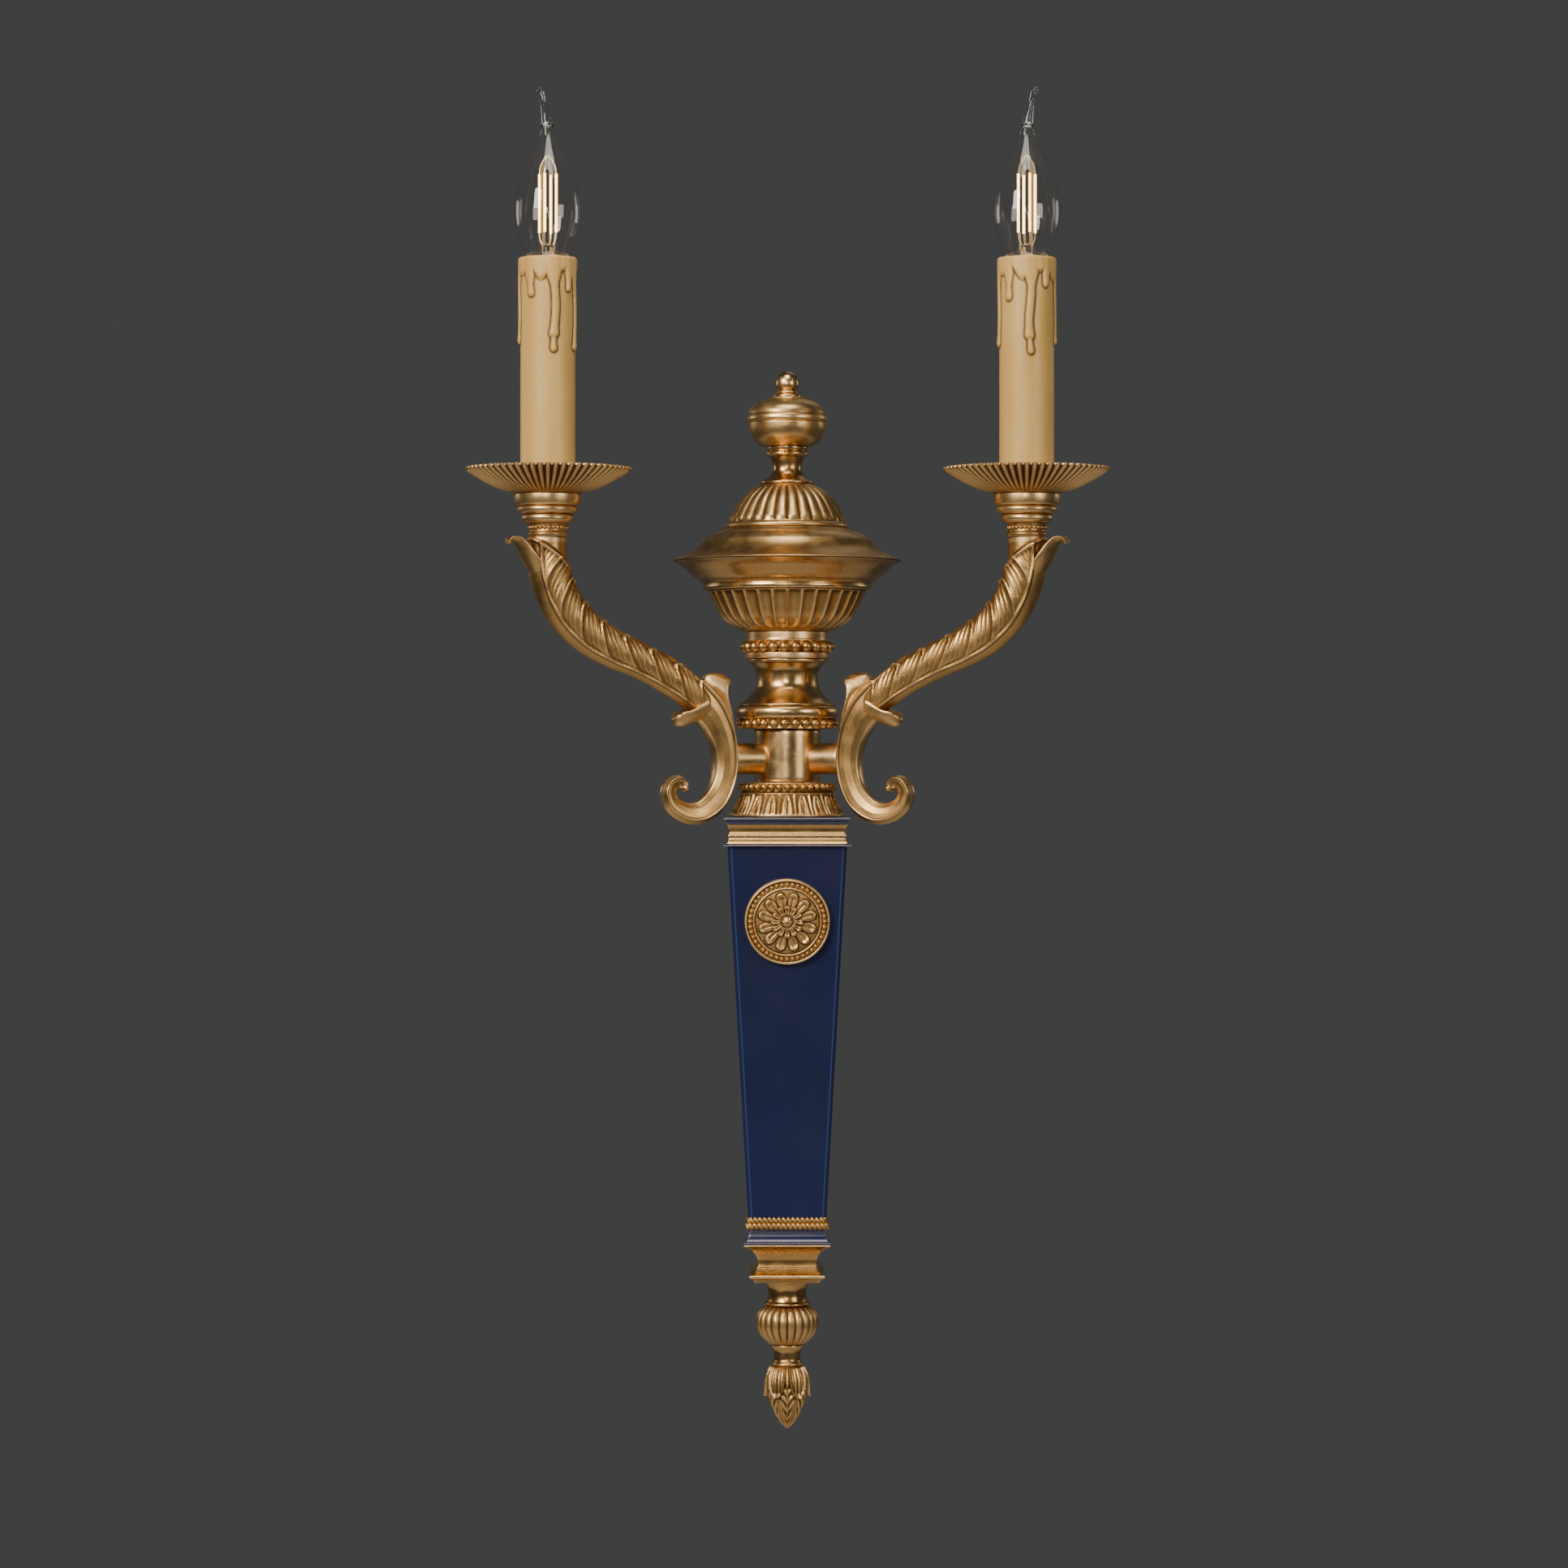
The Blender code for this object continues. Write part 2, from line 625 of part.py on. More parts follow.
def make_pilaster():
    """The tapered enamel shell, open at the back, with the hole for the medallion's stud."""
    rings = []
    ends = ((PILASTER_TOP_HALF, PILASTER_TOP), (PILASTER_BOTTOM_HALF, PILASTER_TOP - PILASTER_LENGTH))
    for half, z in ends:
        front = -AXIS_OUT - half
        inner = half - PILASTER_WALL
        edge = PILASTER_CHAMFER
        rings.append(
            [
                (-half, -BACK_CLEAR, z),
                (-half, front + edge, z),
                (-half + edge, front, z),
                (half - edge, front, z),
                (half, front + edge, z),
                (half, -BACK_CLEAR, z),
                (inner, -BACK_CLEAR, z),
                (inner, front + PILASTER_WALL, z),
                (-inner, front + PILASTER_WALL, z),
                (-inner, -BACK_CLEAR, z),
            ]
        )
    shell = lofted("pilaster_shell", rings, ENAMEL)
    spot, turn = medallion_place()
    hole = cylinder("stud_hole", MEDALLION_STUD + GAP, (0, 0, -12.0), (0, 0, 12.0), None, COARSE)
    place(hole, *spot, turn)
    cut(shell, hole)


def make_medallion():
    """A dished disc with a stud through the pilaster, and the rosette that sits in the dish."""
    spot, turn = medallion_place()
    dish = MEDALLION_RADIUS - MEDALLION_RIM
    floor = MEDALLION_THICK - 1.9
    stud_length = PILASTER_WALL + 4.0
    profile = [
        (0.0, floor),
        (dish, floor),
        (dish, MEDALLION_THICK),
        (MEDALLION_RADIUS - 0.6, MEDALLION_THICK),
        (MEDALLION_RADIUS, MEDALLION_THICK - 1.2),
        (MEDALLION_RADIUS, 0.0),
        (MEDALLION_STUD, 0.0),
        (MEDALLION_STUD, -stud_length),
        (0.0, -stud_length),
    ]
    place(turned("medallion_disc", profile, BRASS), *spot, turn)
    base = floor + GAP
    profile = [
        (0.0, base + 4.4),
        (3.6, base + 3.9),
        (5.2, base + 2.4),
        (11.0, base + 2.8),
        (dish - GAP - 0.8, base + 1.2),
        (dish - GAP, base),
        (0.0, base),
    ]
    place(turned("medallion_rosette", profile, BRASS), *spot, turn)


# --- Wall side ---------------------------------------------------------------------------------


def slot_cutter(name, radius, low_z, high_z, deep=12.0):
    """A slot through the bracket and the plate with round ends."""
    slot = cylinder(name, radius, (0, deep, low_z), (0, -deep, low_z), None, COARSE)
    top = cylinder(f"{name}_end", radius, (0, deep, high_z), (0, -deep, high_z), None, COARSE)
    middle = box(f"{name}_middle", (2.0 * radius, 2.0 * deep, high_z - low_z), (0, 0, (low_z + high_z) / 2.0), None)
    return slot, top, middle


def make_wall_bracket(cable_hole):
    """The steel strip that is screwed to the wall, and the two studs in it."""
    bottom = ROPE_TOP + 12.0
    size = (2.0 * BRACKET_HALF, BRACKET_THICK, BRACKET_TOP - bottom)
    centre = (0.0, -BRACKET_THICK / 2.0, (BRACKET_TOP + bottom) / 2.0)
    bracket = cut(box("wall_bracket", size, centre, STEEL), cable_hole)
    for low in (COLLAR_TOP - 6.0 - SCREW_SLOT_LENGTH, bottom + 8.0):
        cut(bracket, *slot_cutter("screw_slot", SCREW_SLOT, low, low + SCREW_SLOT_LENGTH - 2.0 * SCREW_SLOT))
    foot = 0.4
    shank_end = PLATE_FRONT + GAP
    head_end = shank_end + STUD_HEAD_THICK
    profile = [
        (0.0, head_end),
        (STUD_HEAD - 0.8, head_end),
        (STUD_HEAD, head_end - 0.8),
        (STUD_HEAD, shank_end),
        (STUD_SHANK, shank_end),
        (STUD_SHANK, foot),
        (0.0, foot),
    ]
    for name, z in zip(("hanging_stud_upper", "hanging_stud_lower"), STUD_LEVELS):
        place(turned(name, profile, STEEL, steps=COARSE), z=z, turn=(math.pi / 2.0, 0.0, 0.0))
        reach = (0, -BRACKET_THICK - 5.0, z)
        cut(bracket, cylinder("stud_seat", STUD_SHANK + GAP, (0, 5.0, z), reach, None, COARSE))


def make_back_plate(cable_hole, ways):
    """The bent plate that hangs on the studs. Its tabs are clamped on the tie rod."""
    tab = AXIS_OUT + ROD_HOLE + 6.0
    outline = [
        (-PLATE_BACK, PLATE_TOP),
        (-tab, PLATE_TOP),
        (-tab, PLATE_TOP - PLATE_THICK),
        (-PLATE_FRONT, PLATE_TOP - PLATE_THICK),
        (-PLATE_FRONT, PLATE_BOTTOM + PLATE_THICK),
        (-tab, PLATE_BOTTOM + PLATE_THICK),
        (-tab, PLATE_BOTTOM),
        (-PLATE_BACK, PLATE_BOTTOM),
    ]
    rings = [[(x, y, z) for y, z in outline] for x in (-PLATE_HALF, PLATE_HALF)]
    plate = lofted("back_plate", rings, STEEL)
    low, high = (0, -AXIS_OUT, PLATE_BOTTOM - 5.0), (0, -AXIS_OUT, PLATE_TOP + 5.0)
    cut(plate, cable_hole, cylinder("plate_rod", ROD_HOLE, low, high, None), *ways)
    for z in STUD_LEVELS:
        cut(plate, *slot_cutter("keyhole_slot", STUD_SHANK + GAP, z - KEYHOLE_DROP, z))
        wide = (0, 5.0, z - KEYHOLE_DROP), (0, -PLATE_FRONT - 5.0, z - KEYHOLE_DROP)
        cut(plate, cylinder("keyhole", STUD_HEAD + 2.0 * GAP, *wide, None, COARSE))


def make_terminal_block():
    """The connector block on the front of the back plate."""
    width, depth, height = TERMINAL_SIZE
    z = CABLE_Z - TERMINAL_BELOW_CABLE - height / 2.0
    box("terminal_block", TERMINAL_SIZE, (0.0, -PLATE_FRONT - GAP - depth / 2.0, z), PHENOLIC)


# --- Arms --------------------------------------------------------------------------------------


def arm_frame():
    """The empty that holds the right arm: X is the reach, and Z is the height."""
    frame = bpy.data.objects.new("right_arm_frame", None)
    PARTS.objects.link(frame)
    return place(frame, y=-AXIS_OUT, turn=(0.0, 0.0, -ARM_TURN))


def along_joint(distance):
    """A point on the straight line through the joint of scroll and branch."""
    reach = JOINT_REACH + distance * math.cos(JOINT_SLOPE)
    return reach, JOINT_HEIGHT + distance * math.sin(JOINT_SLOPE)


def wire_line():
    """The wire's points in the arm's plane, from the lampholder to the hub: (reach, side, height)."""
    upper = [(PAN_REACH, NIPPLE_TOP - 2.0), (PAN_REACH, BRANCH_TOP), (PAN_REACH, BRANCH_TOP - 8.0)]
    branch = [(reach, height) for reach, height, _, _ in reversed(BRANCH_LINE)]
    joint = [along_joint(7.4), along_joint(0.0)]
    flat = upper + branch + joint + list(WIRE_IN_SCROLL)
    flat += [(BOSS_END, 0.0), (ARM_STUD_INNER + 3.0, 0.0)]
    return [(reach, 0.0, height) for reach, height in flat]


def make_wire(frame):
    """The lamp wire, from the lampholder through the arm and the hub to the terminal block."""
    turn_back = Matrix.Rotation(ARM_TURN, 3, "Z")
    block_top = CABLE_Z - TERMINAL_BELOW_CABLE + 2.0 * GAP
    entry = turn_back @ Vector((TERMINAL_SIZE[0] / 4.0, AXIS_OUT - PLATE_FRONT - TERMINAL_SIZE[1] / 2.0, block_top))
    drop = WIRE_DROP_REACH
    way_out = PLATE_TOP - PLATE_THICK - 2.0
    down = [
        (ARM_STUD_INNER, 0.0, 0.0),
        (ARM_STUD_INNER - 2.0, 0.0, -2.2),
        (ARM_STUD_INNER - 2.3, 0.0, -7.0),
        (drop - 0.2, 0.0, COLLAR_TOP + 0.5),
        (drop, 0.0, COLLAR_TOP - WEB - 2.0),
        (drop, 0.0, way_out),
        (drop - 1.0, 3.0, way_out - 10.0),
        ((drop + entry.x) / 2.0, entry.y / 2.0, (way_out + block_top) / 2.0 - 4.0),
        (entry.x, entry.y, block_top + 6.0),
        tuple(entry),
    ]
    curve = bpy.data.curves.new("right_wire", "CURVE")
    curve.dimensions = "3D"
    curve.bevel_depth = WIRE_RADIUS * MM
    curve.bevel_resolution = 1
    curve.use_fill_caps = True
    points = smooth_line(wire_line() + down, 2)
    spline = curve.splines.new("POLY")
    spline.points.add(len(points) - 1)
    for point, spot in zip(spline.points, points):
        point.co = (*(spot * MM), 1.0)
    return add_object("right_wire", curve, CABLE, frame)


def wire_channel(frame, name, low, high):
    """A cored wire way on the same points as the wire, between two heights."""
    line = smooth_line(wire_line(), 2)
    inside = [point for point in line if low < point.z < high and point.x > BOSS_END + 1.0]
    stations = [(point.x, point.z, WIRE_BORE, WIRE_BORE) for point in inside]
    return swept(name, stations, None, sides=8, parent=frame)


def make_boss_and_nut(frame):
    """The threaded boss between hub and scroll, and its nut inside the hub."""
    inner, outer = (ARM_STUD_INNER, 0, 0), (ARM_STUD_OUTER, 0, 0)
    boss = cylinder("right_arm_boss", BOSS_RADIUS, (HUB_RADIUS - 6.0, 0, 0), (BOSS_END, 0, 0), BRASS, parent=frame)
    drum = cylinder("drum_clearance", HUB_RADIUS + GAP, (0, 0, -20.0), (0, 0, 20.0), None, 40, frame)
    stud = cylinder("arm_stud", ARM_STUD, inner, outer, None, COARSE, frame)
    bore = cylinder("stud_bore", WIRE_BORE, (0, 0, 0), (60.0, 0, 0), None, COARSE, frame)
    cut(boss, drum)
    join(boss, stud)
    cut(boss, bore)
    start, end = ARM_STUD_INNER + 0.4, ARM_STUD_INNER + 0.4 + ARM_NUT_THICK
    nut = cylinder("right_arm_nut", ARM_NUT_RADIUS, (start, 0, 0), (end, 0, 0), STEEL, 6, frame)
    hole = cylinder("nut_thread", ARM_STUD + THREAD_GAP, (0, 0, 0), (20.0, 0, 0), None, COARSE, frame)
    return [boss, cut(nut, hole)]


def make_scroll(frame):
    """The C-scroll with its calyx, seated on the boss and socketed for the branch."""
    channel = wire_channel(frame, "scroll_channel", -1.0, along_joint(0.5)[1])
    start = along_joint(-GAP)
    stations = [(*start, 11.0, 8.8), *SCROLL_LINE]
    scroll = swept("right_arm_scroll", stations, BRASS, parent=frame)
    leaves = [
        swept(f"calyx_leaf_{index}", leaf, None, 8, frame)
        for index, leaf in enumerate((CALYX_TOP_LEAF, CALYX_LOW_LEAF))
    ]
    join(scroll, *leaves)
    seat = cylinder("boss_seat", BOSS_RADIUS + GAP, (0, 0, 0), (BOSS_END + GAP, 0, 0), None, ROUND, frame)
    end = (ARM_STUD_OUTER + 3.0 * GAP, 0, 0)
    thread = cylinder("scroll_thread", ARM_STUD + THREAD_GAP, (BOSS_END, 0, 0), end, None, COARSE, frame)
    deep, high = along_joint(-SPIGOT_LENGTH - 2.0 * GAP), along_joint(3.0)
    ends = (deep[0], 0, deep[1]), (high[0], 0, high[1])
    socket = cylinder("spigot_socket", ARM_STUD + THREAD_GAP, *ends, None, COARSE, frame)
    cut(scroll, seat, thread, socket)
    boolean(scroll, channel, "DIFFERENCE", "MANIFOLD")
    return scroll


def make_branch(frame):
    """The leaf-covered arm, with a spigot for the scroll and a threaded top for the nipple."""
    channel_low = along_joint(-SPIGOT_LENGTH - 3.0)[1]
    channel = wire_channel(frame, "branch_channel", channel_low, BRANCH_TOP - NIPPLE_IN_ARM + 6.0)
    joint = along_joint(0.0)
    stations = [
        (*along_joint(-SPIGOT_LENGTH), ARM_STUD, ARM_STUD),
        (*joint, ARM_STUD, ARM_STUD),
        (*joint, 8.6, 7.6),
        (*along_joint(7.4), 9.0, 7.8),
        *BRANCH_LINE,
        (PAN_REACH, BRANCH_TOP - 8.0, BRANCH_WIDTH, BRANCH_WIDTH),
        (PAN_REACH, BRANCH_TOP, BRANCH_WIDTH, BRANCH_WIDTH),
    ]
    branch = swept("right_arm_branch", stations, BRASS, parent=frame)
    join(branch, swept("branch_leaf_tip", BRANCH_LEAF_TIP, None, 8, frame))
    low, high = (PAN_REACH, 0, BRANCH_TOP - NIPPLE_IN_ARM - GAP), (PAN_REACH, 0, BRANCH_TOP + 5.0)
    thread = cylinder("nipple_hole", NIPPLE_RADIUS + THREAD_GAP, low, high, None, COARSE, frame)
    cut(branch, thread)
    boolean(branch, channel, "DIFFERENCE", "MANIFOLD")
    return branch


# --- Lamp stack --------------------------------------------------------------------------------


def on_pan_axis(obj):
    """Places a piece that is modelled about Z on the right pan's axis."""
    obj.parent = None
    x = PAN_REACH * math.cos(ARM_TURN)
    return place(obj, x=x, y=-AXIS_OUT - PAN_REACH * math.sin(ARM_TURN))


def make_cup_and_pan():
    """The ringed cup, the drip pan, and the nut and nipple that clamp them on the arm."""
    hole = NIPPLE_RADIUS + THREAD_GAP
    outline = (
        (CUP_RADIUS, 1.0),
        (CUP_RADIUS, 0.74),
        (CUP_RADIUS - 1.6, 0.72),
        (CUP_RADIUS - 1.6, 0.58),
        (CUP_RADIUS - 3.8, 0.54),
        (CUP_RADIUS - 3.8, 0.39),
        (CUP_RADIUS - 5.5, 0.32),
        (CUP_RADIUS - 5.5, 0.13),
        (CUP_RADIUS - 7.1, 0.0),
    )
    profile = [(radius, CUP_BOTTOM + share * CUP_HEIGHT) for radius, share in outline]
    cup = turned("right_arm_cup", profile + [(hole, CUP_BOTTOM), (hole, CUP_TOP)], BRASS, closed=True)
    rim = PAN_BOTTOM + PAN_HEIGHT
    floor = PAN_BOTTOM + PAN_FLOOR
    under = ((PAN_RADIUS, 1.0), (PAN_RADIUS - 0.8, 0.88), (PAN_RADIUS - 9.2, 0.56), (PAN_RADIUS - 19.0, 0.20))
    profile = [(radius, PAN_BOTTOM + share * PAN_HEIGHT) for radius, share in under]
    profile += [(CUP_RADIUS, PAN_BOTTOM), (hole, PAN_BOTTOM), (hole, floor), (SLEEVE_RADIUS + 2.0, floor)]
    profile += [
        (radius - 0.3, PAN_BOTTOM + share * PAN_HEIGHT + PAN_WALL)
        for radius, share in reversed(under)
        if share < 0.8
    ]
    profile.append((PAN_RADIUS - 1.4, rim))
    pan = turned("right_drip_pan", profile, BRASS, closed=True, steps=PAN_FACETS)
    seat = (0, 0, PAN_SEAT), (0, 0, PAN_SEAT + PAN_NUT_THICK)
    nut = cylinder("right_pan_nut", PAN_NUT_RADIUS, *seat, STEEL, 6)
    thread = cylinder("pan_nut_thread", hole, (0, 0, PAN_BOTTOM), (0, 0, SLEEVE_TOP), None, COARSE)
    on_pan_axis(thread)
    bottom = BRANCH_TOP - NIPPLE_IN_ARM
    profile = [(NIPPLE_RADIUS, NIPPLE_TOP), (NIPPLE_RADIUS, bottom), (NIPPLE_BORE, bottom), (NIPPLE_BORE, NIPPLE_TOP)]
    nipple = turned("right_nipple", profile, STEEL, closed=True, steps=COARSE)
    made = [on_pan_axis(piece) for piece in (cup, pan, nut, nipple)]
    cut(nut, thread)
    return made


def make_sleeve_and_holder():
    """The candle sleeve and the lampholder on the nipple inside it."""
    inner = SLEEVE_RADIUS - SLEEVE_WALL
    profile = [(SLEEVE_RADIUS, SLEEVE_TOP), (SLEEVE_RADIUS, PAN_SEAT), (inner, PAN_SEAT), (inner, SLEEVE_TOP)]
    sleeve = turned("right_candle_sleeve", profile, WAX, closed=True)
    socket = CAP_RADIUS + SOCKET_GAP
    hole = NIPPLE_RADIUS + THREAD_GAP
    profile = [
        (0.0, SOCKET_FLOOR),
        (socket, SOCKET_FLOOR),
        (socket, HOLDER_TOP),
        (HOLDER_RADIUS, HOLDER_TOP),
        (HOLDER_RADIUS, HOLDER_BOTTOM + 2.0),
        (HOLDER_RADIUS - 2.0, HOLDER_BOTTOM),
        (hole, HOLDER_BOTTOM),
        (hole, SOCKET_FLOOR - HOLDER_FLOOR),
        (0.0, SOCKET_FLOOR - HOLDER_FLOOR),
    ]
    holder = turned("right_lampholder", profile, PHENOLIC)
    return [on_pan_axis(sleeve), on_pan_axis(holder)]


def lamp_body(name, offset, low, tip, finish):
    """The envelope's outline as a closed body, moved inwards by an offset."""
    neck = NECK_RADIUS - offset
    stations = [(0.0, low, neck, neck), (0.0, CAP_TOP + GAP, neck, neck)]
    for height, radius, lean in LAMP_OUTLINE:
        if height < tip:
            width = radius - offset
            stations.append((lean, SLEEVE_TOP + height, width, width))
    return swept(name, stations, finish)


def lean_outwards(obj):
    """Stands a lamp piece on the right pan's axis, with the tip leaning away from the column."""
    on_pan_axis(obj)
    obj.rotation_euler = (0.0, 0.0, -ARM_TURN)
    return obj


def make_lamp():
    """A lamp in three pieces: screw cap, glass envelope and filament assembly."""
    floor = CAP_BOTTOM + CAP_FLOOR
    inner = CAP_RADIUS - CAP_WALL
    profile = [
        (0.0, floor),
        (inner, floor),
        (inner, CAP_TOP),
        (CAP_RADIUS, CAP_TOP),
        (CAP_RADIUS, CAP_BOTTOM + 3.5),
        (2.6, CAP_BOTTOM + 1.9),
        (2.6, CAP_BOTTOM),
        (0.0, CAP_BOTTOM),
    ]
    cap = on_pan_axis(turned("right_lamp_cap", profile, BRASS))
    low = CAP_TOP - GLASS_IN_CAP
    glass = lamp_body("right_lamp_glass", 0.0, low, 100.0, GLASS)
    hollow = lamp_body("lamp_hollow", GLASS_WALL, low - 5.0, 70.0, None)
    lean_outwards(hollow)
    cut(lean_outwards(glass), hollow)
    flare = NECK_RADIUS - GLASS_WALL - GAP
    mount = SLEEVE_TOP + 8.0
    crown = SLEEVE_TOP + 46.0
    profile = [
        (0.0, mount + 2.0),
        (FILAMENT_CIRCLE + FILAMENT_RADIUS, mount + 2.0),
        (FILAMENT_CIRCLE + FILAMENT_RADIUS, mount),
        (2.6, mount),
        (2.6, low + 7.0),
        (flare, low + 4.0),
        (flare, low + 0.5),
        (0.0, low + 0.5),
    ]
    stem = lean_outwards(turned("right_lamp_filament", profile, FILAMENT, steps=COARSE))
    sticks = []
    for index in range(FILAMENT_COUNT):
        angle = 2.0 * math.pi * (index + 0.5) / FILAMENT_COUNT
        x, y = FILAMENT_CIRCLE * math.cos(angle), FILAMENT_CIRCLE * math.sin(angle)
        ends = (x, y, mount + 1.0), (x, y, crown + 0.5)
        sticks.append(lean_outwards(cylinder("filament_stick", FILAMENT_RADIUS, *ends, None, 6)))
    top = cylinder("crown", FILAMENT_CIRCLE + FILAMENT_RADIUS, (0, 0, crown), (0, 0, crown + 1.4), None, COARSE)
    join(stem, *sticks, lean_outwards(top))
    return [cap, glass, stem]


def mirrored_copy(obj):
    """The left-hand twin of a right-hand piece, as a plain mesh about its own origin."""
    graph = bpy.context.evaluated_depsgraph_get()
    mesh = bpy.data.meshes.new_from_object(obj.evaluated_get(graph))
    home = obj.matrix_world.translation
    twin_home = Vector((-home.x, home.y, home.z))
    mirror = Matrix.Scale(-1.0, 4, (1.0, 0.0, 0.0))
    mesh.transform(Matrix.Translation(-twin_home) @ mirror @ obj.matrix_world)
    mesh.flip_normals()
    name = obj.name.replace("right_", "left_")
    if obj.type == "CURVE":
        shape = bmesh.new()
        shape.from_mesh(mesh)
        bmesh.ops.remove_doubles(shape, verts=shape.verts, dist=0.00001)
        bmesh.ops.recalc_face_normals(shape, faces=shape.faces)
        shape.to_mesh(mesh)
        shape.free()
    mesh.name = name
    twin = bpy.data.objects.new(name, mesh)
    PARTS.objects.link(twin)
    twin.location = twin_home
    return twin


def make_arms():
    """The right arm with its lamp, and its mirrored twin."""
    frame = arm_frame()
    pieces = make_boss_and_nut(frame)
    pieces.append(make_scroll(frame))
    pieces.append(make_branch(frame))
    pieces.append(make_wire(frame))
    pieces += make_cup_and_pan()
    pieces += make_sleeve_and_holder()
    pieces += make_lamp()
    bpy.context.view_layer.update()
    for piece in pieces:
        mirrored_copy(piece)


def make_tie_rod(low, high):
    """The threaded rod that clamps the whole column."""
    ends = (0, -AXIS_OUT, low), (0, -AXIS_OUT, high)
    cylinder("tie_rod", ROD_RADIUS, *ends, STEEL, COARSE)


def main():
    """Builds every piece of the sconce."""
    ways = wire_way_cutters()
    rod_top = make_upper_stack(wall_plane_cutter())
    make_hub(ways)
    make_square_castings(ways)
    make_pilaster()
    make_medallion()
    rod_bottom = make_finial()
    make_tie_rod(rod_bottom, rod_top)
    reach = (0, -PLATE_FRONT - 5.0, CABLE_Z)
    cable_hole = cylinder("cable_hole", CABLE_HOLE, (0, 5.0, CABLE_Z), reach, None)
    make_wall_bracket(cable_hole)
    make_back_plate(cable_hole, ways)
    make_terminal_block()
    make_arms()


main()
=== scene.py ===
"""Two-arm wall sconce with candle sleeves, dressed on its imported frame.

Sizes are in millimetres until a mesh is made. The wall is the plane y = 0, the front is -Y, and
z = 0 is the height of the arm bosses. The column stands on an upright axis 40 mm off the wall.
"""

import logging
import math
from dataclasses import dataclass
from enum import Enum
from typing import Callable, Dict, List, Optional, Sequence, Tuple, Union

import bmesh
import bpy
import numpy as np
from mathutils import Matrix, Vector


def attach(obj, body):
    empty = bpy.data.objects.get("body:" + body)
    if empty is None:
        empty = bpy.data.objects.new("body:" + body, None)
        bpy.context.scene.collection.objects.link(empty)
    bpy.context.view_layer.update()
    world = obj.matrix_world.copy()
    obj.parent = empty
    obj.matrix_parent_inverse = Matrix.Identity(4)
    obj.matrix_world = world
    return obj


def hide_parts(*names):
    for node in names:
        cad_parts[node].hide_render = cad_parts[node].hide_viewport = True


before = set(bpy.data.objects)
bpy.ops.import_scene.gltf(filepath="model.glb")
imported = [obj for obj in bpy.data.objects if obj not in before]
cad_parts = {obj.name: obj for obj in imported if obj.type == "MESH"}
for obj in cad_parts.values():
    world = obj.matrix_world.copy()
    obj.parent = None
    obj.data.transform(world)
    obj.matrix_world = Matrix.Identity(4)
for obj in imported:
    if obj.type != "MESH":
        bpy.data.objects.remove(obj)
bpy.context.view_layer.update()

Socket = bpy.types.NodeSocket
Colour = Tuple[float, float, float]
Run = Sequence[Tuple[float, ...]]
Relief = Callable[[np.ndarray, np.ndarray, np.ndarray], np.ndarray]
Placing = Callable[[np.ndarray], np.ndarray]

LOG = logging.getLogger("sconce")
MM = 0.001
AXIS_OUT = 40.0
WALL_GAP = 0.5
ROD_HOLE = 4.3
CAST_WALL = 2.6
WEB = 3.0
ARM_TURN = math.radians(28.0)
PAN_REACH = 139.8
FRONT = -math.pi / 2.0
SIDE_COLUMNS = 8
CORNER_COLUMNS = 6
RING_POINTS = 120
# Column of the pilaster's front edge, which carries a painted highlight line.
EDGE_COLUMN = SIDE_COLUMNS + CORNER_COLUMNS - 1


class Side(Enum):
    """Which arm a piece belongs to, with the sign of its X."""

    LEFT = -1.0
    RIGHT = 1.0

    @property
    def word(self) -> str:
        """The side as it stands in node names."""
        return self.name.lower()


# --- Finishes ----------------------------------------------------------------------------------


def add_node(tree: bpy.types.NodeTree, kind: str, **values: object) -> bpy.types.Node:
    """Adds a node to a tree and sets its properties.

    Args:
        tree: The tree that gets the node.
        kind: The node's Blender type.
        **values: Its properties by name.

    Returns:
        The new node.
    """
    node = tree.nodes.new(kind)
    for key, value in values.items():
        setattr(node, key, value)
    return node


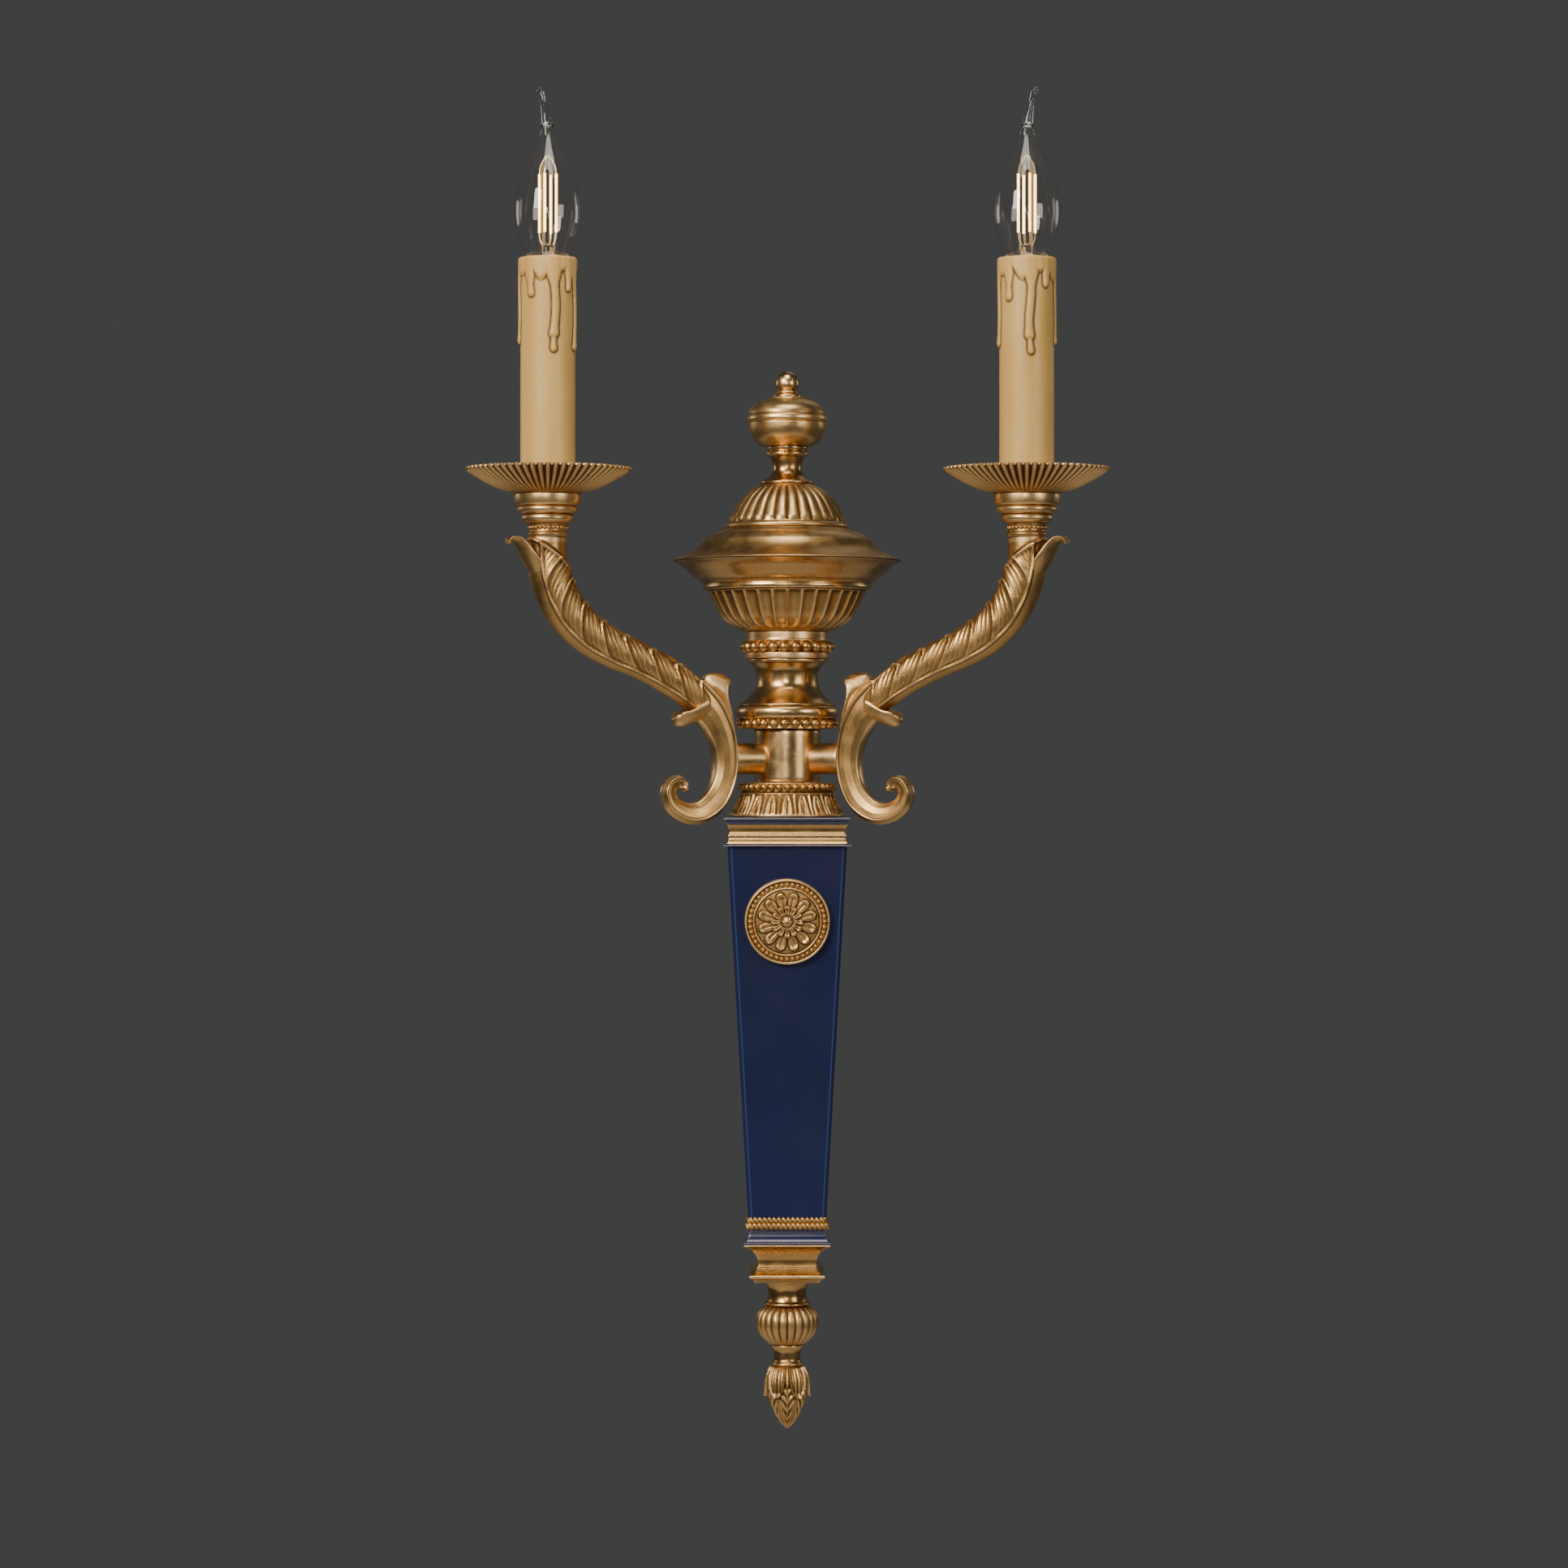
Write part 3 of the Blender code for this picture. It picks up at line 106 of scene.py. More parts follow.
class Bench:
    """A material under construction, with short ways to add and join nodes."""

    def __init__(self, name: str) -> None:
        """Starts a material that holds one shader and its output.

        Args:
            name: The material's name.
        """
        self.material = bpy.data.materials.new(name)
        self.material.use_nodes = True
        self.tree = self.material.node_tree
        self.tree.nodes.clear()
        self.shader = self.add("ShaderNodeBsdfPrincipled")
        output = self.add("ShaderNodeOutputMaterial")
        self.join(self.shader.outputs["BSDF"], output.inputs["Surface"])
        self.place = self.add("ShaderNodeTexCoord").outputs["Object"]

    def add(self, kind: str, **values: object) -> bpy.types.Node:
        """Adds a node."""
        return add_node(self.tree, kind, **values)

    def join(self, start: Socket, end: Socket) -> None:
        """Links two sockets."""
        self.tree.links.new(start, end)

    def fix(self, **values: object) -> None:
        """Sets values straight on the shader's sockets, with underscores for spaces."""
        for key, value in values.items():
            self.shader.inputs[key.replace("_", " ")].default_value = value

    def noise(self, scale: float, detail: float = 3.0, stretch: Colour = (1.0, 1.0, 1.0)) -> Socket:
        """A noise pattern in object space.

        Args:
            scale: Repeats per metre.
            detail: Finer layers in the noise.
            stretch: Scale of each axis before the noise.

        Returns:
            The noise's value from 0 to 1.
        """
        mapping = self.add("ShaderNodeMapping")
        mapping.inputs["Scale"].default_value = stretch
        self.join(self.place, mapping.inputs["Vector"])
        texture = self.add("ShaderNodeTexNoise")
        texture.inputs["Scale"].default_value = scale
        texture.inputs["Detail"].default_value = detail
        self.join(mapping.outputs["Vector"], texture.inputs["Vector"])
        return texture.outputs["Fac"]

    def remap(self, value: Socket, low: float, high: float, to_low: float, to_high: float) -> Socket:
        """Maps a value from one span to another, and holds it inside the second.

        Args:
            value: The value.
            low: Start of its span.
            high: End of its span.
            to_low: What the start becomes.
            to_high: What the end becomes.

        Returns:
            The mapped value.
        """
        node = self.add("ShaderNodeMapRange")
        self.join(value, node.inputs["Value"])
        for key, number in zip(("From Min", "From Max", "To Min", "To Max"), (low, high, to_low, to_high)):
            node.inputs[key].default_value = number
        return node.outputs["Result"]

    def sum(self, first: Socket, second: Socket) -> Socket:
        """Adds two values and holds the sum between 0 and 1.

        Args:
            first: One value.
            second: The other.

        Returns:
            Their sum.
        """
        node = self.add("ShaderNodeMath", operation="ADD", use_clamp=True)
        self.join(first, node.inputs[0])
        self.join(second, node.inputs[1])
        return node.outputs[0]

    def blend(self, share: Socket, first: Union[Colour, Socket], second: Union[Colour, Socket]) -> Socket:
        """Mixes two colours.

        Args:
            share: How much of the second, from 0 to 1.
            first: A colour, or a socket that gives one.
            second: The same for the second.

        Returns:
            The mixed colour.
        """
        node = self.add("ShaderNodeMix", data_type="RGBA")
        self.join(share, node.inputs[0])
        for socket, colour in ((node.inputs[6], first), (node.inputs[7], second)):
            if isinstance(colour, tuple):
                socket.default_value = (*colour, 1.0)
            else:
                self.join(colour, socket)
        return node.outputs[2]

    def recess(self) -> Socket:
        """How deep a point lies in a hollow: above 0 in a hollow, below 0 on an edge."""
        return self.add("ShaderNodeAttribute", attribute_name="recess").outputs["Fac"]

    def bump(self, *layers: Tuple[Socket, float, float]) -> None:
        """Stacks bumps on the shader.

        Args:
            *layers: For each bump its height, its strength and its depth in metres.
        """
        previous = None
        for height, strength, depth in layers:
            node = self.add("ShaderNodeBump")
            node.inputs["Strength"].default_value = strength
            node.inputs["Distance"].default_value = depth
            self.join(height, node.inputs["Height"])
            if previous is not None:
                self.join(previous, node.inputs["Normal"])
            previous = node.outputs["Normal"]
        self.join(previous, self.shader.inputs["Normal"])


@dataclass(frozen=True)
class Brass:
    """Antique gold brass, with dark patina in its hollows and rubbed edges."""

    name: str
    roughness: float = 0.30
    grain: float = 0.25
    patina: float = 0.85
    colour: Colour = (0.650, 0.390, 0.145)
    dark: Colour = (0.080, 0.036, 0.011)
    bright: Colour = (0.850, 0.580, 0.280)
    slot: str = "brass"

    def build(self) -> bpy.types.Material:
        """Makes the material.

        Returns:
            The brass with casting grain, patina and worn edges.
        """
        bench = Bench(self.name)
        hollow = bench.recess()
        cloud = bench.noise(55.0, 4.0)
        speck = bench.noise(900.0, 3.0)
        fleck = bench.remap(speck, 0.58, 0.72, 0.0, 0.45 * self.grain)
        deep = bench.remap(hollow, 0.10, 0.75, 0.0, self.patina)
        deep = bench.sum(deep, fleck)
        wear_and_highlight = bench.remap(hollow, -0.15, -0.8, 0.0, 0.8)
        tone = bench.blend(bench.remap(cloud, 0.35, 0.70, 0.0, 1.0), self.colour, self.tired())
        tone = bench.blend(wear_and_highlight, tone, self.bright)
        tone = bench.blend(deep, tone, self.dark)
        bench.join(tone, bench.shader.inputs["Base Color"])
        smear = bench.remap(bench.noise(130.0, 5.0), 0.3, 0.7, self.roughness - 0.06, self.roughness + 0.09)
        rough = bench.sum(smear, bench.remap(deep, 0.0, 1.0, 0.0, 0.25))
        bench.join(rough, bench.shader.inputs["Roughness"])
        bench.fix(Metallic=1.0)
        fine = bench.noise(1500.0, 2.0)
        bench.bump((speck, self.grain, 0.00025), (fine, 0.6 * self.grain, 0.00012))
        return bench.material

    def tired(self) -> Colour:
        """The duller, browner tone of the older lacquer."""
        return tuple(0.78 * part for part in self.colour)


@dataclass(frozen=True)
class Enamel:
    """Deep navy enamel with a clear coat, and a painted highlight: a lighter colour along its edges where
    light would catch them.
    """

    name: str
    # Painted highlight: the lighter colour laid along the edges where light would catch them, and how
    # strongly it is laid.
    edge: Colour = (0.032, 0.055, 0.190)
    edge_highlight: float = 0.9
    colour: Colour = (0.0120, 0.0160, 0.0580)
    slot: str = "blue_enamel"

    def build(self) -> bpy.types.Material:
        """Makes the material.

        Returns:
            The enamel with slight clouding under its coat, and a painted highlight along its edges.
        """
        bench = Bench(self.name)
        cloud = bench.remap(bench.noise(14.0, 3.0, (1.0, 1.0, 0.5)), 0.4, 0.75, 0.0, 1.0)
        tone = bench.blend(cloud, self.colour, tuple(1.55 * part for part in self.colour))
        # Painted highlight: convex edges and the marked edge lines get the lighter edge colour; in the
        # brass the same mask is real rubbed wear.
        wear_and_highlight = bench.remap(bench.recess(), -0.12, -0.6, 0.0, self.edge_highlight)
        tone = bench.blend(wear_and_highlight, tone, self.edge)
        bench.join(tone, bench.shader.inputs["Base Color"])
        ripple = bench.noise(35.0, 2.0)
        bench.join(bench.remap(ripple, 0.3, 0.7, 0.16, 0.26), bench.shader.inputs["Roughness"])
        bench.fix(Coat_Weight=1.0, Coat_Roughness=0.06, Coat_IOR=1.5)
        bench.bump((ripple, 0.10, 0.0006), (bench.noise(600.0, 1.0), 0.03, 0.0001))
        return bench.material


@dataclass(frozen=True)
class Wax:
    """Moulded candle sleeve: cream wax, darker in the hollows round the drips."""

    name: str = "cream_wax"
    colour: Colour = (0.630, 0.365, 0.090)
    pale: Colour = (0.745, 0.475, 0.145)
    hollow_dark: Colour = (0.150, 0.055, 0.012)
    slot: str = "candle_sleeve"

    def build(self) -> bpy.types.Material:
        """Makes the material.

        Returns:
            The wax, darker in the hollows round its drips.
        """
        bench = Bench(self.name)
        cloud = bench.remap(bench.noise(40.0, 3.0, (1.0, 1.0, 0.4)), 0.3, 0.7, 0.0, 1.0)
        tone = bench.blend(cloud, self.colour, self.pale)
        hollow = bench.recess()
        # The concave places beside the drips and under the cap are mixed towards a dark brown.
        tone = bench.blend(bench.remap(hollow, 0.06, 0.5, 0.0, 0.9), tone, self.hollow_dark)
        bench.join(tone, bench.shader.inputs["Base Color"])
        rough = bench.remap(bench.noise(180.0, 3.0), 0.3, 0.7, 0.36, 0.5)
        bench.join(rough, bench.shader.inputs["Roughness"])
        bench.fix(Subsurface_Weight=0.25, Subsurface_Radius=(0.004, 0.002, 0.0008), Subsurface_Scale=1.0)
        bench.bump((bench.noise(120.0, 3.0), 0.12, 0.0006), (bench.noise(1300.0, 2.0), 0.08, 0.0001))
        return bench.material


@dataclass(frozen=True)
class Plain:
    """A plainer stuff with slight unevenness: steel, moulded phenolic or cable sheath."""

    name: str
    colour: Colour
    slot: str
    metallic: float = 0.0
    roughness: float = 0.45
    bumps: float = 0.15
    scale: float = 500.0
    mottle: float = 0.28

    def build(self) -> bpy.types.Material:
        """Makes the material.

        Returns:
            The stuff with uneven tone, gloss and surface.
        """
        bench = Bench(self.name)
        cloud = bench.noise(70.0, 4.0)
        darker = tuple((1.0 - self.mottle) * part for part in self.colour)
        tone = bench.blend(bench.remap(cloud, 0.35, 0.7, 0.0, 1.0), self.colour, darker)
        bench.join(tone, bench.shader.inputs["Base Color"])
        low, high = self.roughness - 0.07, self.roughness + 0.09
        rough = bench.remap(bench.noise(160.0, 3.0), 0.3, 0.7, low, high)
        bench.join(rough, bench.shader.inputs["Roughness"])
        bench.fix(Metallic=self.metallic)
        bench.bump((bench.noise(self.scale, 3.0), self.bumps, 0.0002))
        return bench.material


@dataclass(frozen=True)
class Glass:
    """Clear lamp glass."""

    name: str = "clear_glass"
    slot: str = "lamp_glass"

    def build(self) -> bpy.types.Material:
        """Makes the material.

        Returns:
            The glass, with faint waviness from blowing.
        """
        bench = Bench(self.name)
        bench.fix(Base_Color=(1.0, 0.985, 0.96, 1.0), Roughness=0.0, IOR=1.46, Transmission_Weight=1.0)
        bench.bump((bench.noise(25.0, 0.0), 0.02, 0.0003))
        return bench.material


@dataclass(frozen=True)
class Glow:
    """Phosphor coat of a lit filament."""

    name: str = "lit_filament"
    slot: str = "filament"
    colour: Colour = (1.0, 0.56, 0.14)
    strength: float = 6.0

    def build(self) -> bpy.types.Material:
        """Makes the material.

        Returns:
            The coat, a little uneven along each stick.
        """
        bench = Bench(self.name)
        tone = bench.blend(bench.noise(700.0, 1.0), self.colour, (1.0, 0.66, 0.22))
        bench.join(tone, bench.shader.inputs["Emission Color"])
        bench.join(tone, bench.shader.inputs["Base Color"])
        bench.fix(Emission_Strength=self.strength, Roughness=0.5)
        return bench.material


class Finish(Enum):
    """Every finish on the sconce."""

    CAST = Brass("cast_brass", roughness=0.38, grain=0.55)
    SATIN = Brass("satin_brass", roughness=0.33, grain=0.16, patina=0.80)
    POLISHED = Brass("polished_brass", roughness=0.25, grain=0.05, patina=0.70)
    ENAMEL = Enamel("navy_enamel")
    # The lips' pale grey edge colour is a painted reflection of light on their rims.
    LIP = Enamel("navy_enamel_lip", edge=(0.12, 0.12, 0.15), edge_highlight=0.5)
    WAX = Wax()
    STEEL = Plain("zinc_steel", (0.52, 0.53, 0.55), "zinc_steel", 1.0, 0.38)
    PHENOLIC = Plain("black_phenolic", (0.022, 0.020, 0.019), "phenolic", 0.0, 0.42)
    CABLE = Plain("cable_sheath", (0.045, 0.043, 0.042), "cable", 0.0, 0.55, 0.3)
    GLASS = Glass()
    STEM_GLASS = Glass("stem_glass", "filament")
    LEAD = Plain("lead_wire", (0.60, 0.50, 0.40), "filament", 1.0, 0.3)
    GLOW = Glow()

    def material(self) -> bpy.types.Material:
        """The finish's material, made once."""
        found = bpy.data.materials.get(self.value.name)
        return found or self.value.build()


# --- Mesh making -------------------------------------------------------------------------------


def smooth_run(points: Run, step: float) -> np.ndarray:
    """Points at even steps along a smooth line through the given ones.

    Args:
        points: Two or more points of any number of values.
        step: Distance between the new points.

    Returns:
        The points, both ends included.
    """
    knots = np.asarray(points, float)
    gaps = np.maximum(np.linalg.norm(np.diff(knots, axis=0), axis=1), 1e-6)[:, None]
    slopes = np.diff(knots, axis=0) / gaps
    tangents = np.vstack([slopes[:1], slopes])
    if len(knots) > 2:
        inner = (slopes[:-1] * gaps[1:] + slopes[1:] * gaps[:-1]) / (gaps[1:] + gaps[:-1])
        tangents[1:-1] = inner
        tangents[0] = 1.5 * slopes[0] - 0.5 * inner[0]
        tangents[-1] = 1.5 * slopes[-1] - 0.5 * inner[-1]
    line = []
    for index, gap in enumerate(gaps[:, 0]):
        t = np.arange(max(1, math.ceil(gap / step)))[:, None] / max(1, math.ceil(gap / step))
        start, end = knots[index], knots[index + 1]
        pull = gap * (tangents[index] * (t**3 - 2 * t**2 + t) + tangents[index + 1] * (t**3 - t**2))
        line.append(start * (2 * t**3 - 3 * t**2 + 1) + end * (3 * t**2 - 2 * t**3) + pull)
    return np.vstack([*line, knots[-1:]])


def joined_runs(runs: Sequence[Run], step: float, fillet: float) -> np.ndarray:
    """One closed outline from smooth runs, with a small round at each corner between them.

    Args:
        runs: Runs of (radius, height), each starting where the last one ended.
        step: Distance between points on a run.
        fillet: How far a corner's round reaches along its two sides.

    Returns:
        The outline's points, the last joining the first.
    """
    lines = [smooth_run(run, step if len(run) > 2 else 3.0 * step) for run in runs]
    result = []
    for index, line in enumerate(lines):
        before = lines[index - 1]
        corner = line[0]
        result.extend(rounded_corner(before[-2], corner, line[1], fillet))
        result.extend(line[1:-1])
    return np.array(result)


def rounded_corner(
    before: np.ndarray, corner: np.ndarray, after: np.ndarray, fillet: float
) -> List[np.ndarray]:
    """The points that stand for a corner.

    Args:
        before: The point before the corner.
        corner: The corner.
        after: The point after it.
        fillet: How far the round reaches along both sides.

    Returns:
        Five points on a round, or the corner itself where it hardly turns.
    """
    back, ahead = before - corner, after - corner
    back_length, ahead_length = np.linalg.norm(back), np.linalg.norm(ahead)
    if min(back_length, ahead_length) < 1e-6 or corner[0] < 1e-6:
        return [corner]
    turn = np.dot(back, ahead) / (back_length * ahead_length)
    if turn < -0.96:
        return [corner]
    start = corner + back / back_length * min(fillet, 0.45 * back_length)
    end = corner + ahead / ahead_length * min(fillet, 0.45 * ahead_length)
    shares = (0.0, 0.25, 0.5, 0.75, 1.0)
    return [(1 - t) ** 2 * start + 2 * t * (1 - t) * corner + t * t * end for t in shares]


def outward(outline: np.ndarray) -> np.ndarray:
    """Directions that point out of a closed outline.

    Args:
        outline: Its points.

    Returns:
        A unit direction for each point.
    """
    along = np.roll(outline, -1, 0) - np.roll(outline, 1, 0)
    along /= np.maximum(np.linalg.norm(along, axis=1), 1e-9)[:, None]
    area = np.sum(outline[:, 0] * np.roll(outline[:, 1], -1) - np.roll(outline[:, 0], -1) * outline[:, 1])
    side = 1.0 if area > 0.0 else -1.0
    return np.stack([along[:, 1], -along[:, 0]], 1) * side


def grid_mesh(name: str, points: np.ndarray, closed_rows: bool = True) -> bpy.types.Mesh:
    """A mesh of quads on a grid that closes round its columns.

    Args:
        name: The mesh's name.
        points: Rows by columns of points, in millimetres.
        closed_rows: Whether the last row joins the first; otherwise both ends get a fan.

    Returns:
        The closed mesh.
    """
    rows, columns = points.shape[:2]
    index = np.arange(rows * columns).reshape(rows, columns)
    low = index if closed_rows else index[:-1]
    high = np.roll(index, -1, 0) if closed_rows else index[1:]
    quads = np.stack([low, np.roll(low, -1, 1), np.roll(high, -1, 1), high], -1).reshape(-1, 4).tolist()
    spots = points.reshape(-1, 3)
    if not closed_rows:
        spots = np.vstack([spots, points[0].mean(0), points[-1].mean(0)])
        for row, middle in ((index[0], len(spots) - 2), (index[-1], len(spots) - 1)):
            quads += [(int(a), int(b), middle) for a, b in zip(row, np.roll(row, -1))]
    mesh = bpy.data.meshes.new(name)
    mesh.from_pydata((spots * MM).tolist(), [], quads)
    return mesh


def tidy(mesh: bpy.types.Mesh, sharp: float = 55.0) -> bpy.types.Mesh:
    """Merges doubles, turns the faces outwards, and smooths all but the sharp edges.

    Args:
        mesh: The mesh.
        sharp: Angle in degrees past which an edge stays sharp.

    Returns:
        The same mesh.
    """
    shape = bmesh.new()
    shape.from_mesh(mesh)
    bmesh.ops.remove_doubles(shape, verts=shape.verts, dist=1e-7)
    bmesh.ops.recalc_face_normals(shape, faces=shape.faces)
    shape.to_mesh(mesh)
    shape.free()
    mesh.shade_smooth()
    mesh.set_sharp_from_angle(angle=math.radians(sharp))
    return mesh


def mark_recesses(mesh: bpy.types.Mesh, rounds: int = 8, full: float = 0.25) -> bpy.types.Mesh:
    """Writes how deep each point lies in a hollow of the surface, for the patina, the darker wax hollows
    and the painted highlights on enamel edges.

    Args:
        mesh: The mesh, which gets the attribute "recess".
        rounds: How far the surface is evened out for the comparison.
        full: The depth in millimetres that counts as 1.

    Returns:
        The same mesh.
    """
    count = len(mesh.vertices)
    spots, normals = np.empty(count * 3), np.empty(count * 3)
    mesh.vertices.foreach_get("co", spots)
    mesh.vertices.foreach_get("normal", normals)
    spots, normals = spots.reshape(-1, 3), normals.reshape(-1, 3)
    ends = np.empty(len(mesh.edges) * 2, int)
    mesh.edges.foreach_get("vertices", ends)
    first, second = ends.reshape(-1, 2).T
    degree = np.maximum(np.bincount(ends, minlength=count), 1)

    def around(values: np.ndarray) -> np.ndarray:
        """The mean of each point's neighbours."""
        total = np.bincount(first, values[second], count) + np.bincount(second, values[first], count)
        return total / degree

    even = spots.copy()
    for _ in range(rounds):
        even = np.stack([around(even[:, axis]) for axis in range(3)], 1)
    depth = ((even - spots) * normals).sum(1) / MM
    depth = 0.5 * depth + 0.5 * around(depth)
    attribute = mesh.attributes.new("recess", "FLOAT", "POINT")
    attribute.data.foreach_set("value", np.clip(depth / full, -1.0, 1.0).astype(np.float32))
    return mesh


def on_column(points: np.ndarray) -> np.ndarray:
    """Stands points about Z on the column's axis, cut flat where they reach the wall.

    Args:
        points: The points, in millimetres.

    Returns:
        The points in the shared frame.
    """
    placed = points + (0.0, -AXIS_OUT, 0.0)
    placed[..., 1] = np.minimum(placed[..., 1], -WALL_GAP)
    return placed


def in_arm(side: Side) -> Placing:
    """Places rows of (reach, across, height) in the plane of one arm.

    Args:
        side: Which arm.

    Returns:
        The function that places points; across is positive towards the wall.
    """

    def placing(points: np.ndarray) -> np.ndarray:
        """Turns points into the shared frame.

        Args:
            points: The points in the arm's own plane.

        Returns:
            The points in the shared frame.
        """
        reach, across, height = np.moveaxis(points, -1, 0)
        x = reach * math.cos(ARM_TURN) + across * math.sin(ARM_TURN)
        y = -AXIS_OUT - reach * math.sin(ARM_TURN) + across * math.cos(ARM_TURN)
        return np.stack([side.value * x, y, height], -1)

    return placing


def on_pan(side: Side) -> Placing:
    """Stands points about Z on one pan's axis.

    Args:
        side: Which arm's pan.

    Returns:
        The function that places points.
    """
    x = side.value * PAN_REACH * math.cos(ARM_TURN)
    y = -AXIS_OUT - PAN_REACH * math.sin(ARM_TURN)
    return lambda points: points + (x, y, 0.0)


def turned(
    name: str,
    outer: Sequence[Run],
    bore: Sequence[Run],
    columns: int = 96,
    relief: Optional[Relief] = None,
    placing: Placing = on_column,
    step: float = 0.6,
    fillet: float = 0.35,
) -> bpy.types.Mesh:
    """A turned piece, closed between its outside and its bore.

    Args:
        name: The mesh's name.
        outer: Runs of (radius, height) on the outside, from the bottom up.
        bore: Runs on the inside, from the top down; its ends meet the outside's.
        columns: Points round the piece.
        relief: Height of the pattern from angle, radius and height, in millimetres.
        placing: Where the piece stands.
        step: Distance between rows on a smooth run.
        fillet: Reach of the small rounds at corners.

    Returns:
        The finished mesh.
    """
    outside = joined_runs([*outer, *bore], step, fillet)
    normals = outward(outside)
    angles = np.arange(columns) * 2.0 * math.pi / columns
    radius, height = outside[:, :1], outside[:, 1:]
    raised = np.zeros((len(outside), columns))
    if relief is not None:
        raised = relief(angles[None, :], np.repeat(radius, columns, 1), np.repeat(height, columns, 1))
    radius = np.where(radius > 1e-6, radius + normals[:, :1] * raised, 0.0)
    height = height + normals[:, 1:] * raised
    points = np.stack([radius * np.cos(angles), radius * np.sin(angles), height], -1)
    return mark_recesses(tidy(grid_mesh(name, placing(points))))


def straight(*points: Tuple[float, float]) -> List[Run]:
    """Runs straight from each point to the next."""
    return list(zip(points[:-1], points[1:]))


def cast_bore(outer: Sequence[Run]) -> List[Run]:
    """The inside of a hollow casting, with an open bottom and a web at the top.

    Args:
        outer: The runs of its outside.

    Returns:
        The runs of its inside, with the rod hole through the web.
    """
    bottom, top = outer[0][0], outer[-1][-1]
    inner = min(point[0] for run in outer for point in run) - CAST_WALL
    high = top[1] - WEB
    return straight(top, (ROD_HOLE, top[1]), (ROD_HOLE, high), (inner, high), (inner, bottom[1]), bottom)


def solid_bore(outer: Sequence[Run]) -> List[Run]:
    """The rod hole through a solid casting.

    Args:
        outer: The runs of its outside.

    Returns:
        The runs of the hole.
    """
    bottom, top = outer[0][0], outer[-1][-1]
    return straight(top, (ROD_HOLE, top[1]), (ROD_HOLE, bottom[1]), bottom)


def fade(value: np.ndarray, start: float, end: float) -> np.ndarray:
    """Rises smoothly from 0 at the start to 1 at the end."""
    t = np.clip((value - start) / (end - start), 0.0, 1.0)
    return t * t * (3.0 - 2.0 * t)


def hump(value: np.ndarray, centre: float, width: float) -> np.ndarray:
    """A rounded ridge of height 1."""
    return np.exp(-(((value - centre) / width) ** 2))


def lobes(angle: np.ndarray, count: int) -> np.ndarray:
    """Position across each of a number of lobes, from -1 to 1, with a joint between two in front."""
    return np.mod((angle - FRONT) * count / (2.0 * math.pi), 1.0) * 2.0 - 1.0


def dress(
    name: str,
    mesh: bpy.types.Mesh,
    finish: Finish,
    nodes: Sequence[str] = (),
    body: str = "root",
) -> bpy.types.Object:
    """Makes a finished mesh a piece of the sconce.

    Args:
        name: The piece's name.
        mesh: Its mesh, in place.
        finish: What it is made of.
        nodes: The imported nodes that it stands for.
        body: The body that it moves with.

    Returns:
        The new object.
    """
    piece = bpy.data.objects.new(name, mesh)
    bpy.context.scene.collection.objects.link(piece)
    mesh.materials.clear()
    mesh.materials.append(finish.material())
    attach(piece, body)
    if nodes:
        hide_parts(*nodes)
    LOG.info("%s: %d faces in %s", name, len(mesh.polygons), finish.value.name)
    return piece


# --- Beads and ropes ---------------------------------------------------------------------------


